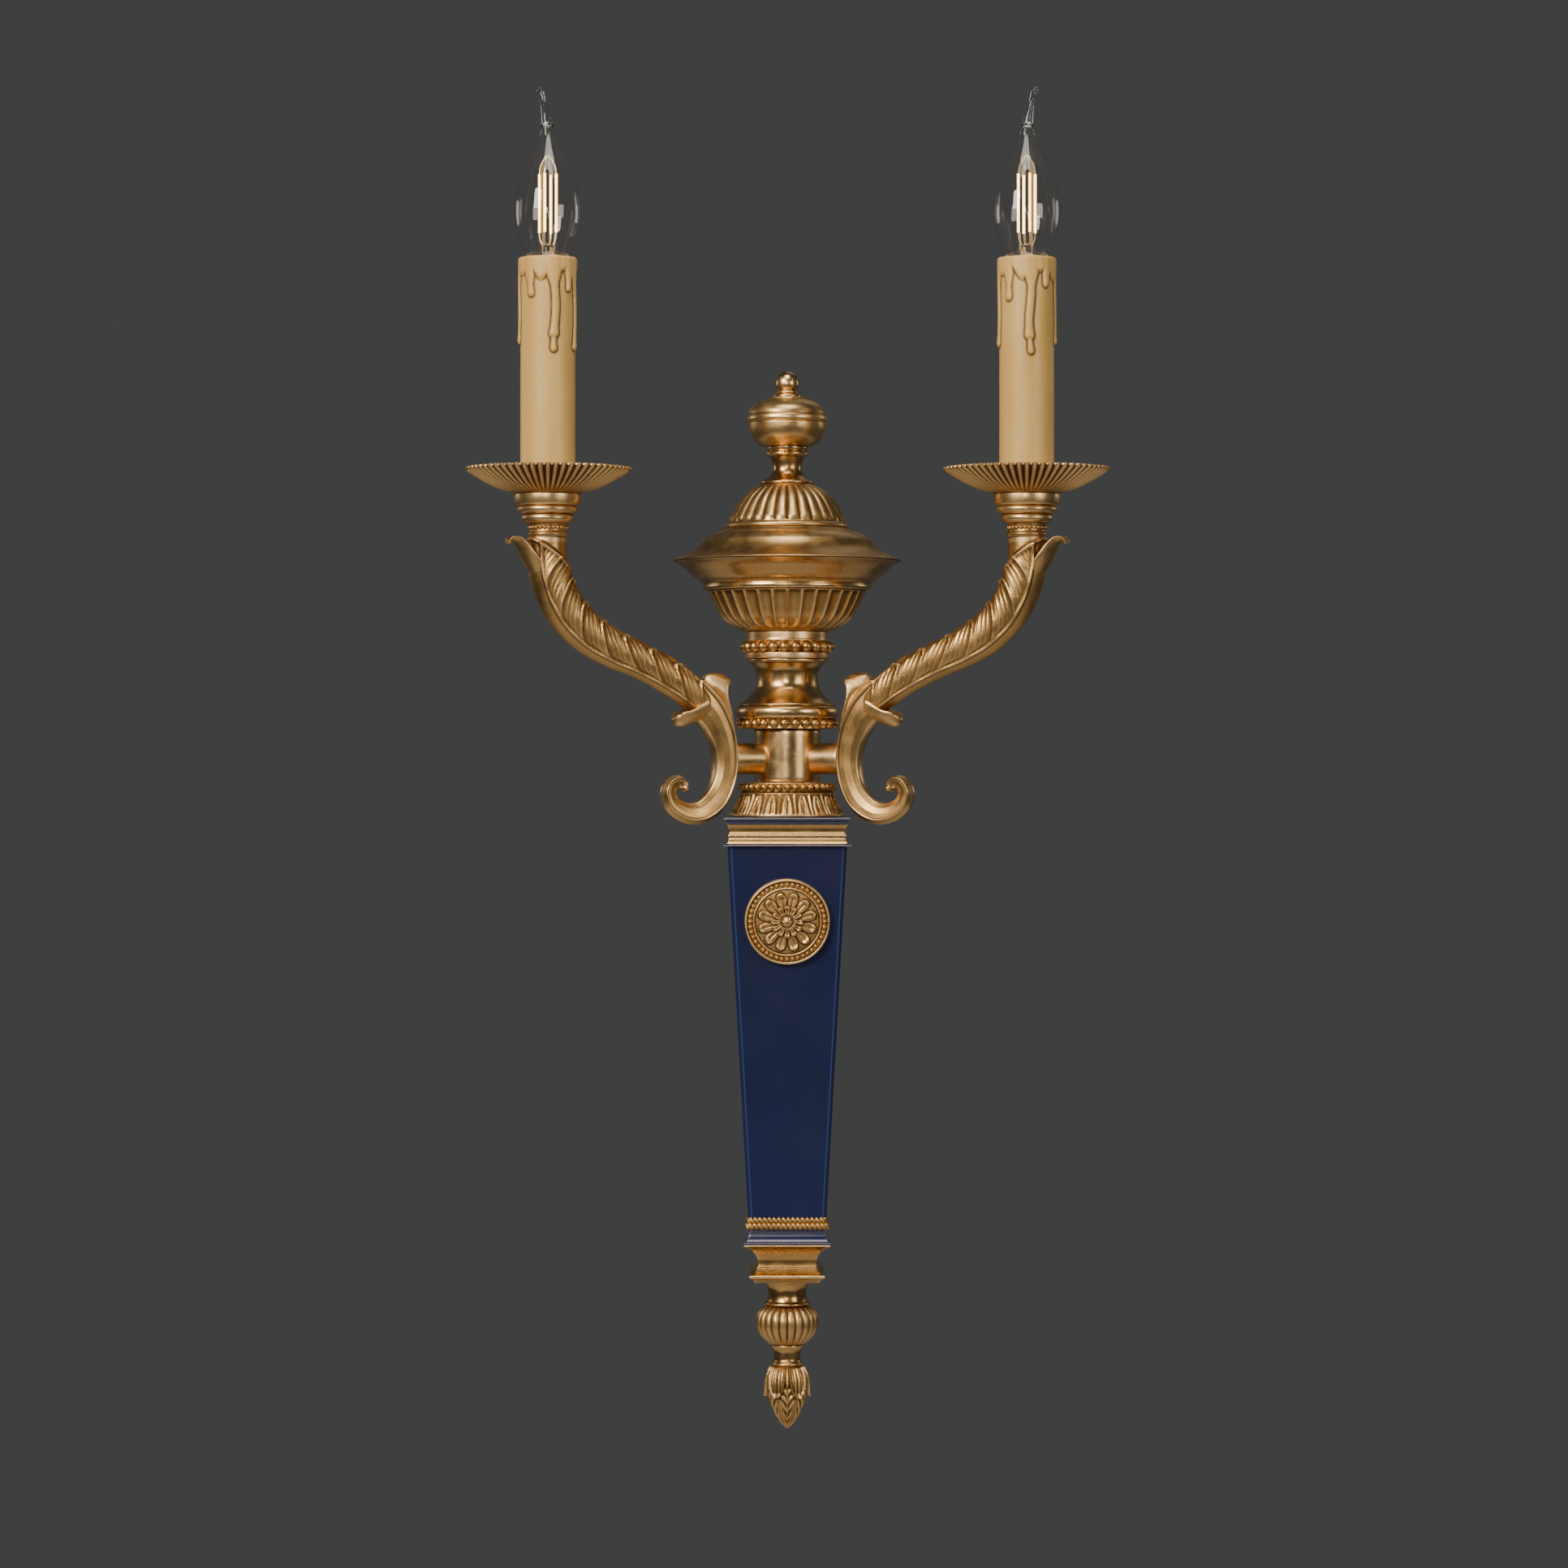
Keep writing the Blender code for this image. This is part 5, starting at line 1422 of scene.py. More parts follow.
@dataclass
class Pilaster:
    """The tapered enamel shell, and the medallion on it."""

    beads: BeadTree
    top: float = -46.4
    bottom: float = -240.8
    top_half: float = 31.3
    bottom_half: float = 20.6
    wall: float = 2.0
    medallion_z: float = -85.2
    medallion_radius: float = 22.5
    dish: float = 16.9
    thick: float = 3.4
    border_beads: int = 44
    petals: int = 12

    @property
    def lean(self) -> float:
        """Slope of the pilaster's front."""
        return math.atan2(self.top_half - self.bottom_half, self.top - self.bottom)

    def build(self) -> None:
        """Makes the shell and the medallion."""
        self.make_shell()
        self.make_medallion()

    def make_shell(self) -> None:
        """The tapered shell with softened corners."""
        rings = []
        rows = list(np.linspace(self.bottom, self.top, 48))
        share = (self.top_half - self.bottom_half) / (self.top - self.bottom)
        for offset, levels in ((0.0, rows), (-self.wall, rows[::-1])):
            for height in levels:
                half = self.bottom_half + (height - self.bottom) * share + offset
                rings.append(square_ring(half, height, 2.0 + 0.4 * offset))
        mesh = tidy(grid_mesh("pilaster_shell", np.array(rings)), 50.0)
        # Painted highlight: the two front edge columns are marked as edges, so the enamel paints a lighter
        # blue line where the chamfers would catch the light.
        line = np.zeros(len(rings[0]), np.float32)
        line[[EDGE_COLUMN, -1 - EDGE_COLUMN]] = -1.0
        mesh.attributes.new("recess", "FLOAT", "POINT").data.foreach_set("value", np.tile(line, len(rings)))
        dress("pilaster_shell", mesh, Finish.ENAMEL, ["pilaster_shell"])

    def on_front(self, points: np.ndarray) -> np.ndarray:
        """Stands points about Z on the pilaster's front, with Z facing out.

        Args:
            points: The points, in millimetres.

        Returns:
            The points in the shared frame.
        """
        half = self.top_half - (self.top - self.medallion_z) * math.tan(self.lean)
        turn = Matrix.Rotation(math.pi / 2.0 + self.lean, 3, "X")
        return points @ np.array(turn).T + (0.0, -AXIS_OUT - half - 0.3, self.medallion_z)

    def rosette_relief(self, angle: np.ndarray, radius: np.ndarray, height: np.ndarray) -> np.ndarray:
        """Two rings of petals round a beaded boss.

        Args:
            angle: Angle about the axis.
            radius: Distance from the axis.
            height: Height along the axis.

        Returns:
            Height of the petals and the boss.
        """
        outer = lobes(angle, self.petals)
        inner = lobes(angle + math.pi / self.petals, self.petals)
        far = np.clip((radius - 7.0) / 8.6, 0.0, 1.0)
        half = 0.95 * np.sqrt(np.clip(1.0 - far**3.5, 0.0, 1.0))
        petal = fade(half - np.abs(outer), 0.0, 0.2) * fade(radius, 4.0, 7.0)
        vein = hump(outer, 0.0, 0.13) * (1.0 - far)
        curl = hump(far, 0.86, 0.12)
        raised = petal * (0.9 + 0.7 * curl - 0.5 * vein)
        near = np.clip((radius - 3.2) / 5.4, 0.0, 1.0)
        half = 0.95 * np.sqrt(np.clip(1.0 - near**3.0, 0.0, 1.0))
        small = fade(half - np.abs(inner), 0.0, 0.22) * (radius < 9.5) * fade(radius, 2.6, 3.6)
        small = small * (1.7 + 0.5 * hump(near, 0.8, 0.14) - 0.4 * hump(inner, 0.0, 0.15))
        raised = np.maximum(raised, small)
        dome = np.sqrt(np.clip(1.0 - (radius / 3.4) ** 2, 0.0, 1.0))
        grain = 0.25 * np.cos(angle * 8.0) * hump(radius, 2.3, 0.5)
        raised = np.maximum(raised, dome * 2.6 + grain * (radius < 3.4))
        return np.where((height > 1.2) & (radius < self.dish - 0.9), raised, 0.0)

    def make_medallion(self) -> None:
        """The dished disc with its bead border, and the rosette in the dish."""
        rim, radius, thick = self.dish, self.medallion_radius, self.thick
        outer = [
            ((radius, 0.0), (radius, thick - 1.2)),
            (
                (radius, thick - 1.2),
                (radius - 0.2, thick - 0.4),
                (radius - 0.9, thick),
                (radius - 1.5, thick - 0.5),
            ),
            ((radius - 1.5, thick - 0.5), (radius - 1.8, thick - 1.3)),
            ((radius - 1.8, thick - 1.3), (rim + 1.4, thick - 1.3)),
            (
                (rim + 1.4, thick - 1.3),
                (rim + 1.0, thick - 0.3),
                (rim + 0.4, thick - 0.1),
                (rim, thick - 0.5),
            ),
            ((rim, thick - 0.5), (rim, 1.5)),
            ((rim, 1.5), (0.0, 1.5)),
        ]
        bore = straight((0.0, 1.5), (0.0, -6.0), (1.8, -6.0), (1.8, 0.0), (radius, 0.0))
        mesh = turned("medallion_disc", outer, bore, 128, placing=self.on_front)
        dress("medallion_disc", mesh, Finish.CAST, ["medallion_disc"])
        path = ring_path(rim + 2.65, thick - 1.0, self.on_front)
        self.beads.row("medallion_beads", path, True, self.border_beads, 1.22, Finish.SATIN)
        outer = [
            ((rim - 0.3, 1.8), (rim - 0.4, 2.3)),
            ((rim - 0.4, 2.3), (12.0, 2.5), (6.0, 2.7), (2.0, 2.9), (0.0, 2.9)),
        ]
        bore = straight((0.0, 2.9), (0.0, 1.8), (rim - 0.3, 1.8))
        mesh = turned("medallion_rosette", outer, bore, 288, self.rosette_relief, self.on_front, 0.35)
        dress("medallion_rosette", mesh, Finish.CAST, ["medallion_rosette"])


# --- Arms --------------------------------------------------------------------------------------


def swept(
    name: str,
    stations: Run,
    section: np.ndarray,
    placing: Placing,
    step: float = 0.7,
    relief: Optional[Relief] = None,
) -> bpy.types.Mesh:
    """A bar swept along a line in the plane of an arm.

    Args:
        name: The mesh's name.
        stations: Rows of (reach, height, half width in the plane, half width across it).
        section: Closed section as rows of (in the plane, across), each from -1 to 1.
        placing: Puts the arm's plane in the shared frame.
        step: Distance between rows.
        relief: Height of the pattern from the way along, and the section's two values.

    Returns:
        The finished mesh.
    """
    line = smooth_run(stations, step)
    along = np.gradient(line[:, :2], axis=0)
    along /= np.linalg.norm(along, axis=1)[:, None]
    upward = np.stack([-along[:, 1], along[:, 0]], 1)
    way = np.concatenate([[0.0], np.cumsum(np.linalg.norm(np.diff(line[:, :2], axis=0), axis=1))])
    inner, across = section[:, 0][None, :], section[:, 1][None, :]
    half, side = line[:, 2][:, None], line[:, 3][:, None]
    flat, deep = inner * half, across * side
    if relief is not None:
        slope = np.stack([inner / half, across / side], 0)
        slope /= np.maximum(np.linalg.norm(slope, axis=0), 1e-6)
        spots = line[:, None, :2] + upward[:, None, :] * flat[..., None]
        raised = relief(way[:, None] + 0.0 * inner, spots, across + 0.0 * way[:, None])
        flat, deep = flat + slope[0] * raised, deep + slope[1] * raised
    middle = line[:, None, :2] + upward[:, None, :] * flat[..., None]
    points = np.stack([middle[..., 0], deep, middle[..., 1]], -1)
    return mark_recesses(tidy(grid_mesh(name, placing(points), False)))


def oval_section(count: int) -> np.ndarray:
    """A plain oval section, starting at its lower edge."""
    angles = np.linspace(0.0, 2.0 * math.pi, count, endpoint=False)
    return np.stack([-np.cos(angles), -np.sin(angles)], 1)


def ridged_section() -> np.ndarray:
    """The scroll's section.

    Returns:
        Rows of (in the plane, across): a ridge near the outer edge, and a broad bevel to the inner one.
    """
    inward = np.array([-1.0, -0.96, -0.66, -0.60, -0.54, -0.48, -0.42, 0.0, 0.5, 0.94, 1.0])
    depth = np.array([0.20, 0.32, 0.84, 0.97, 1.0, 0.95, 0.84, 0.82, 0.72, 0.46, 0.34])
    spots = np.concatenate([[-1.0], np.linspace(-0.985, 0.985, 56), [1.0]])
    front = np.stack([spots, -np.interp(spots, inward, depth)], 1)
    return np.vstack([front, front[::-1] * (1.0, -1.0)])


@dataclass
class Arm:
    """One arm: boss, C-scroll with calyx, and the leaf-covered branch."""

    side: Side
    boss_radius: float = 8.2
    lobe_gap: float = 16.5
    sweep: float = 25.0
    midrib: float = 0.26

    BRANCH = (
        (45.0, 24.4, 3.6, 4.0),
        (47.4, 26.8, 6.6, 6.2),
        (50.4, 29.2, 8.1, 7.2),
        (54.5, 32.3, 8.6, 7.6),
        (60.5, 36.7, 8.9, 7.8),
        (74.7, 44.8, 9.2, 8.0),
        (88.3, 51.3, 9.6, 8.3),
        (103.7, 57.5, 10.3, 8.8),
        (117.2, 65.0, 11.0, 9.2),
        (127.8, 74.5, 11.2, 9.6),
        (134.6, 85.0, 11.0, 10.0),
        (138.6, 96.0, 10.6, 10.2),
        (139.8, 105.5, 10.2, 10.2),
        (139.8, 113.5, 10.2, 10.2),
    )
    SCROLL = (
        (56.0, 36.0, 8.8, 7.2),
        (51.5, 31.5, 9.4, 8.0),
        (47.0, 26.4, 9.6, 8.6),
        (42.0, 18.5, 8.4, 8.6),
        (38.2, 8.0, 7.0, 8.4),
        (37.0, -3.0, 6.5, 7.8),
        (39.0, -14.0, 6.5, 7.0),
        (44.8, -23.5, 6.6, 6.4),
        (53.5, -28.6, 5.9, 5.8),
        (62.5, -27.8, 5.1, 5.3),
        (69.0, -23.0, 4.5, 4.9),
        (70.6, -16.8, 4.1, 4.6),
        (67.7, -12.6, 3.6, 4.4),
        (64.0, -12.2, 3.2, 4.3),
        (61.9, -14.4, 2.7, 4.2),
    )
    TOP_PETAL = (
        (34.9, 9.0, 1.2, 5.6),
        (36.6, 17.5, 1.9, 7.4),
        (39.2, 25.5, 2.4, 8.4),
        (41.1, 32.0, 2.6, 8.6),
        (42.4, 36.2, 4.6, 8.2),
        (43.1, 39.2, 7.0, 7.4),
        (43.3, 41.7, 7.6, 6.2),
        (43.1, 43.8, 5.6, 4.4),
        (43.0, 45.1, 1.8, 1.8),
    )
    LOW_PETAL = (
        (49.0, 26.0, 6.0, 8.2),
        (54.0, 24.0, 5.0, 8.0),
        (58.6, 22.0, 4.4, 7.4),
        (62.2, 20.9, 4.7, 6.6),
        (64.7, 20.3, 4.2, 5.4),
        (66.6, 20.5, 2.8, 3.8),
        (67.8, 20.7, 0.9, 1.6),
    )
    EYE = (
        (61.6, -17.7, 0.2, 0.4),
        (61.6, -17.2, 1.1, 2.7),
        (61.6, -16.4, 1.8, 4.3),
        (61.6, -15.4, 2.1, 5.0),
        (61.6, -14.4, 1.8, 4.3),
        (61.6, -13.6, 1.1, 2.7),
        (61.6, -13.1, 0.2, 0.4),
    )
    TIP = (
        (139.6, 83.0, 1.8, 3.6),
        (143.0, 90.0, 2.4, 5.4),
        (146.8, 97.0, 3.1, 7.8),
        (151.4, 103.6, 2.6, 8.4),
        (155.0, 109.4, 1.9, 6.8),
        (158.4, 112.7, 1.5, 5.0),
        (161.2, 112.4, 1.3, 3.6),
        (161.8, 110.0, 0.9, 2.4),
    )

    def name(self, part: str) -> str:
        """A part's name with its side."""
        return f"{self.side.word}_{part}"

    def build(self) -> None:
        """Makes the arm's pieces."""
        placing = in_arm(self.side)
        radius = self.boss_radius
        outer = straight((radius - 0.4, 16.2), (radius, 17.0), (radius, 33.0))
        inner = straight((radius, 33.0), (2.4, 33.0), (2.4, 16.2), (radius - 0.4, 16.2))
        node = self.name("arm_boss")
        dress(node, turned(node, outer, inner, 64, placing=self.lying), Finish.SATIN, [node])
        node = self.name("arm_scroll")
        scroll = swept(node, self.SCROLL, ridged_section(), placing, 0.6)
        dress(node, scroll, Finish.SATIN, [node])
        node = self.name("scroll_eye")
        dress(node, swept(node, self.EYE, oval_section(24), placing, 0.35), Finish.SATIN)
        for part, stations in (("calyx_top", self.TOP_PETAL), ("calyx_low", self.LOW_PETAL)):
            node = self.name(part)
            dress(node, swept(node, stations, self.petal_section(), placing, 0.5), Finish.CAST)
        node = self.name("arm_branch")
        branch = swept(node, self.BRANCH, oval_section(180), placing, 0.5, self.leaf_relief)
        dress(node, branch, Finish.CAST, [node])
        node = self.name("leaf_tip")
        dress(node, swept(node, self.TIP, self.petal_section(), placing, 0.4), Finish.CAST)

    def lying(self, points: np.ndarray) -> np.ndarray:
        """Lays points about Z along the arm."""
        return in_arm(self.side)(points[..., [2, 1, 0]] * (1.0, 1.0, -1.0))

    def petal_section(self) -> np.ndarray:
        """A cupped leaf in section, with rolled edges.

        Returns:
            Rows of (in the plane, across).
        """
        inner, across = oval_section(64).T
        lift = 0.9 * np.abs(across) ** 2.2
        return np.stack([0.75 * inner * (0.7 + 0.5 * np.abs(across)) + lift - 0.3, across], 1)

    def leaf_relief(self, way: np.ndarray, spots: np.ndarray, across: np.ndarray) -> np.ndarray:
        """The acanthus leaf: midrib, swept veins in lobes, and turned-over tips.

        Args:
            way: Distance along the branch.
            spots: Places of the section's points in the arm's plane.
            across: Section value across the plane, which is 0 at both edges; not used.

        Returns:
            Height above the plain branch.
        """
        count = way.shape[1]
        turn = np.arange(count) / count
        rise = 1.0 - np.abs(turn * 2.0 - 1.0)
        rise = np.repeat(rise[None, :], way.shape[0], 0)
        high = np.clip((rise - self.midrib) / (1.0 - self.midrib), 0.0, 1.0)
        stem = way - self.sweep * high**0.62
        lobe = np.mod(stem / self.lobe_gap, 1.0)
        crown = 0.42 + 0.30 * np.sqrt(np.clip(1.0 - (2.0 * lobe - 1.0) ** 2, 0.0, 1.0))
        inside = fade(crown - high, -0.01, 0.04)
        veins = sum(hump(lobe, middle, 0.035) for middle in (0.22, 0.42, 0.62))
        scoop = -1.0 * np.sin(math.pi * lobe**1.3) ** 0.8
        hem = 0.7 * hump(lobe, 0.93, 0.05)
        body = 0.9 + scoop + (0.32 * veins + hem) * fade(high, 0.0, 0.16)
        outer_end = fade(lobe, 0.40, 0.6) * (1.0 - fade(lobe, 0.96, 1.0))
        tip = 1.5 * hump(high - crown, 0.0, 0.035) * outer_end
        notch = 0.6 * hump(lobe, 0.02, 0.03) * fade(high, 0.25, 0.45) * inside
        rib = 1.3 * hump(rise, self.midrib, 0.022)
        leaf = body * inside * fade(rise, self.midrib - 0.01, self.midrib + 0.03) + tip - notch + rib
        edge = self.upper_edge(spots)
        cover = fade(edge, -0.3, 0.4)
        lip = 0.9 * hump(edge, 1.0, 0.8)
        start = fade(way, 8.0, 18.0)
        return cover * (leaf * start + 0.5) + lip - 0.5

    def upper_edge(self, spots: np.ndarray) -> np.ndarray:
        """How far points lie below the line where the leaf ends and the plain tube starts.

        Args:
            spots: Places in the arm's plane.

        Returns:
            The distance, below 0 on the plain tube.
        """
        reach, height = spots[..., 0], spots[..., 1]
        slope = (114.0 - 98.5) / (150.0 - 129.5)
        return (98.5 + slope * (reach - 129.5) - height) * math.cos(math.atan(slope))


# --- Lamp stacks -------------------------------------------------------------------------------


@dataclass
class Drip:
    """One run of wax: its place round the sleeve, half width, end level and thickness."""

    turn: float
    half: float
    end: float
    thick: float = 1.2
    bulb: float = 1.25


@dataclass
class LampStack:
    """Cup, fluted pan, candle sleeve and lamp on one arm."""

    side: Side
    beads: BeadTree
    pan_flutes: int = 64
    sleeve_top: float = 257.1
    sleeve_bottom: float = 139.0
    sleeve_radius: float = 14.15
    sleeve_bore: float = 12.95
    hole: float = 4.9
    glass_wall: float = 0.7

    DRIPS = {
        Side.LEFT: (
            Drip(-0.62, 1.5, 238.5),
            Drip(0.30, 2.0, 217.5, 1.5),
            Drip(0.30, 1.3, 209.8, 1.3),
            Drip(-1.42, 1.7, 215.0),
            Drip(1.30, 1.7, 211.5),
            Drip(0.85, 1.2, 241.0),
            Drip(2.3, 1.6, 226.0),
            Drip(-2.4, 1.8, 219.0),
        ),
        Side.RIGHT: (
            Drip(-0.78, 1.5, 236.5),
            Drip(0.08, 2.0, 216.5, 1.5),
            Drip(0.08, 1.3, 208.5, 1.3),
            Drip(-1.40, 1.7, 213.5),
            Drip(1.40, 1.7, 214.5),
            Drip(0.70, 1.2, 243.0),
            Drip(2.5, 1.6, 224.0),
            Drip(-2.3, 1.8, 221.0),
        ),
    }
    GLASS = (
        (6.0, 240.8),
        (6.0, 251.6),
        (8.8, 253.6),
        (10.9, 257.3),
        (13.3, 262.6),
        (15.4, 268.8),
        (17.1, 275.1),
        (17.65, 281.7),
        (17.1, 288.0),
        (15.8, 294.2),
        (13.7, 300.7),
        (11.2, 307.1),
        (7.9, 313.4),
        (5.0, 319.8),
        (3.0, 326.3),
        (2.0, 332.6),
        (1.5, 339.1),
        (1.7, 342.7),
        (1.7, 344.3),
        (0.9, 345.5),
        (0.0, 345.75),
    )

    def name(self, part: str) -> str:
        """A part's name with its side."""
        return f"{self.side.word}_{part}"

    def build(self) -> None:
        """Makes the stack from the cup up."""
        self.make_cup()
        self.make_pan()
        self.make_sleeve()
        self.make_lamp()

    def make_cup(self) -> None:
        """The ringed cup with a bead row at its foot."""
        outer = [
            ((10.2, 113.8), (10.6, 115.6)),
            ((10.6, 115.6), (9.9, 116.4), (9.6, 118.6), (9.9, 121.0)),
            ((9.9, 121.0), (12.6, 121.7), (13.6, 123.4), (12.9, 125.4), (12.0, 125.9)),
            ((12.0, 125.9), (14.9, 126.4), (15.8, 128.0), (15.2, 129.6), (14.4, 130.0)),
            ((14.4, 130.0), (16.4, 130.4), (17.0, 131.4)),
            ((17.0, 131.4), (17.3, 133.8), (17.3, 136.0)),
        ]
        bore = straight((17.3, 136.0), (self.hole, 136.0), (self.hole, 113.8), (10.2, 113.8))
        node = self.name("arm_cup")
        dress(node, turned(node, outer, bore, placing=on_pan(self.side)), Finish.SATIN, [node])
        path = ring_path(9.7, 118.7, on_pan(self.side))
        self.beads.row(self.name("cup_beads"), path, True, 26, 1.15, Finish.SATIN)

    def pan_relief(self, angle: np.ndarray, radius: np.ndarray, height: np.ndarray) -> np.ndarray:
        """Narrow ribs that widen to the scalloped rim.

        Args:
            angle: Angle about the axis.
            radius: Distance from the axis.
            height: Height along the axis; not used.

        Returns:
            Height of the ribs, below 0 between them.
        """
        across = lobes(angle, self.pan_flutes)
        valley = 0.5 - 0.5 * np.cos(math.pi * np.abs(across) ** 1.5)
        return -1.5 * (0.25 + 0.75 * fade(radius, 19.0, 38.0)) * valley * fade(radius, 18.2, 20.5)

    def make_pan(self) -> None:
        """The fluted drip pan."""
        outer = [
            ((17.3, 136.3), (18.4, 136.9)),
            ((18.4, 136.9), (24.0, 138.4), (31.0, 141.4), (37.4, 145.0), (41.4, 147.6), (43.0, 149.0)),
            ((43.0, 149.0), (43.2, 149.5), (42.6, 150.0)),
        ]
        bore = [
            ((42.6, 150.0), (41.2, 149.6)),
            ((41.2, 149.6), (36.6, 147.0), (30.2, 143.3), (23.4, 140.2), (18.6, 138.8)),
            *straight((18.6, 138.8), (self.hole, 138.7), (self.hole, 136.3), (17.3, 136.3)),
        ]
        node = self.name("drip_pan")
        mesh = turned(node, outer, bore, 512, self.pan_relief, on_pan(self.side))
        dress(node, mesh, Finish.CAST, [node])

    def wax_relief(self, angle: np.ndarray, radius: np.ndarray, height: np.ndarray) -> np.ndarray:
        """The cap of wax at the top, and the drips that run down from it.

        Args:
            angle: Angle about the axis.
            radius: Distance from the axis.
            height: Height along the axis.

        Returns:
            Thickness of the wax.
        """
        wave = 2.2 * np.sin(angle * 5.0 + 0.7) + 1.3 * np.sin(angle * 9.0 + 2.1)
        raised = 1.05 * np.sqrt(fade(height - (self.sleeve_top - 8.5 + wave), -0.4, 2.2))
        for drip in self.DRIPS[self.side]:
            bend = 0.6 * np.sin(height * 0.16 + drip.turn * 7.0) / self.sleeve_radius
            off = np.mod(angle - FRONT - drip.turn - bend + math.pi, 2.0 * math.pi) - math.pi
            aside = off * self.sleeve_radius
            flare = 1.0 + 1.3 * fade(height, self.sleeve_top - 16.0, self.sleeve_top - 5.0)
            bulb = 1.0 + (drip.bulb - 1.0) * hump(height, drip.end, 3.0)
            below = np.minimum(height - drip.end, 0.0)
            near = np.sqrt(aside**2 + below**2) / (drip.half * flare * bulb)
            raised = np.maximum(raised, drip.thick * bulb * np.sqrt(np.clip(1.0 - near**2, 0.0, 1.0)))
        return np.where(radius > self.sleeve_radius - 0.5, raised, 0.0)

    def make_sleeve(self) -> None:
        """The candle sleeve."""
        radius, top, inner = self.sleeve_radius, self.sleeve_top, self.sleeve_bore
        middle = top - 60.0
        line = [(radius, middle + share * (top - 0.6 - middle)) for share in np.linspace(0.0, 1.0, 5)]
        low, lip = self.sleeve_bottom, (radius - 0.5, top)
        outer = [((radius, low), (radius, middle)), line, ((radius, top - 0.6), lip)]
        bore = straight(lip, (inner, top), (inner, low), (radius, low))
        node = self.name("candle_sleeve")
        mesh = turned(node, outer, bore, 240, self.wax_relief, on_pan(self.side), 0.4)
        dress(node, mesh, Finish.WAX, [node])

    def bent(self, points: np.ndarray) -> np.ndarray:
        """Stands points in the lamp, and leans its thin tip outwards along the arm.

        Args:
            points: Points about Z, in millimetres.

        Returns:
            The points in the shared frame.
        """
        lean = 5.1 * np.clip((points[..., 2] - 322.0) / 24.0, 0.0, 1.0) ** 1.5
        moved = points + np.stack([PAN_REACH + lean, 0.0 * lean, 0.0 * lean], -1)
        return in_arm(self.side)(moved)

    def make_lamp(self) -> None:
        """The blown glass, and the filaments on their stem."""
        node, body = self.name("lamp_glass"), self.name("lamp")
        inner = [(max(r - self.glass_wall, 0.0), z) for r, z in self.GLASS if z < 328.0][::-1]
        bore = [
            ((0.0, 345.75), (0.0, 328.0)),
            ((0.0, 328.0), (0.9, 327.4), *inner),
            ((5.3, 240.8), (6.0, 240.8)),
        ]
        mesh = turned(node, [self.GLASS], bore, 64, placing=self.bent, step=1.0, fillet=0.2)
        glass = dress(node, mesh, Finish.GLASS, [node], body)
        glass.visible_shadow = False
        node = self.name("lamp_filament")
        outer = [
            *straight((0.0, 241.4), (5.0, 241.4), (5.0, 244.4)),
            ((5.0, 244.4), (3.2, 246.4), (2.5, 249.0), (2.5, 262.0), (1.9, 264.6), (0.0, 265.4)),
        ]
        stem = turned(node, outer, [((0.0, 265.4), (0.0, 241.4))], 32, placing=self.bent)
        dress(node, stem, Finish.STEM_GLASS, [node], body)
        glowing, wires = FilamentSet(self.side).rows()
        dress(self.name("filament_sticks"), glowing, Finish.GLOW, body=body)
        dress(self.name("filament_leads"), wires, Finish.LEAD, body=body)


@dataclass
class FilamentSet:
    """The four filament sticks and the wires that carry them."""

    side: Side
    circle: float = 4.6
    low: float = 271.0
    high: float = 301.0
    stick_radius: float = 0.65
    wire_radius: float = 0.3

    def placing(self, points: np.ndarray) -> np.ndarray:
        """Stands points about Z in the lamp."""
        return in_arm(self.side)(points + (PAN_REACH, 0.0, 0.0))

    def rod(self, path: Run, radius: float, count: int) -> bpy.types.Mesh:
        """A round rod, closed at both ends.

        Args:
            path: Points of (x, y, z) along it.
            radius: Its radius.
            count: Points round it.

        Returns:
            The rod's mesh.
        """
        line = smooth_run(path, 2.0)
        along = np.gradient(line, axis=0)
        along /= np.linalg.norm(along, axis=1)[:, None]
        side = np.cross(along, (0.31, 0.95, 0.05))
        side /= np.linalg.norm(side, axis=1)[:, None]
        other = np.cross(along, side)
        turn = (np.arange(count) * 2.0 * math.pi / count)[None, :, None]
        ring = side[:, None, :] * np.cos(turn) + other[:, None, :] * np.sin(turn)
        return grid_mesh("rod", self.placing(line[:, None, :] + radius * ring), False)

    def rows(self) -> Tuple[bpy.types.Mesh, bpy.types.Mesh]:
        """Makes the sticks and the wires.

        Returns:
            The glowing sticks as one mesh, and the lead wires as another.
        """
        sticks, wires = [], []
        for index in range(4):
            angle = math.pi * (0.25 + 0.5 * index)
            x, y = self.circle * math.cos(angle), self.circle * math.sin(angle)
            sticks.append(self.rod(((x, y, self.low), (x, y, self.high)), self.stick_radius, 10))
            foot = ((0.6 * x, 0.6 * y, 264.6), (0.9 * x, 0.9 * y, 267.0), (x, y, self.low - 0.2))
            crown = ((x, y, self.high + 0.2), (0.9 * x, 0.9 * y, 304.5), (0.1 * x, 0.1 * y, 310.5))
            wires.extend(self.rod(path, self.wire_radius, 6) for path in (foot, crown))
        return self.merge("filament_sticks", sticks), self.merge("filament_leads", wires)

    def merge(self, name: str, meshes: Sequence[bpy.types.Mesh]) -> bpy.types.Mesh:
        """Joins meshes into one.

        Args:
            name: The whole mesh's name.
            meshes: The meshes, which are used up.

        Returns:
            The whole, tidied.
        """
        shape = bmesh.new()
        for mesh in meshes:
            shape.from_mesh(mesh)
            bpy.data.meshes.remove(mesh)
        whole = bpy.data.meshes.new(name)
        shape.to_mesh(whole)
        shape.free()
        return tidy(whole)


# --- Kept nodes, studio and main ---------------------------------------------------------------


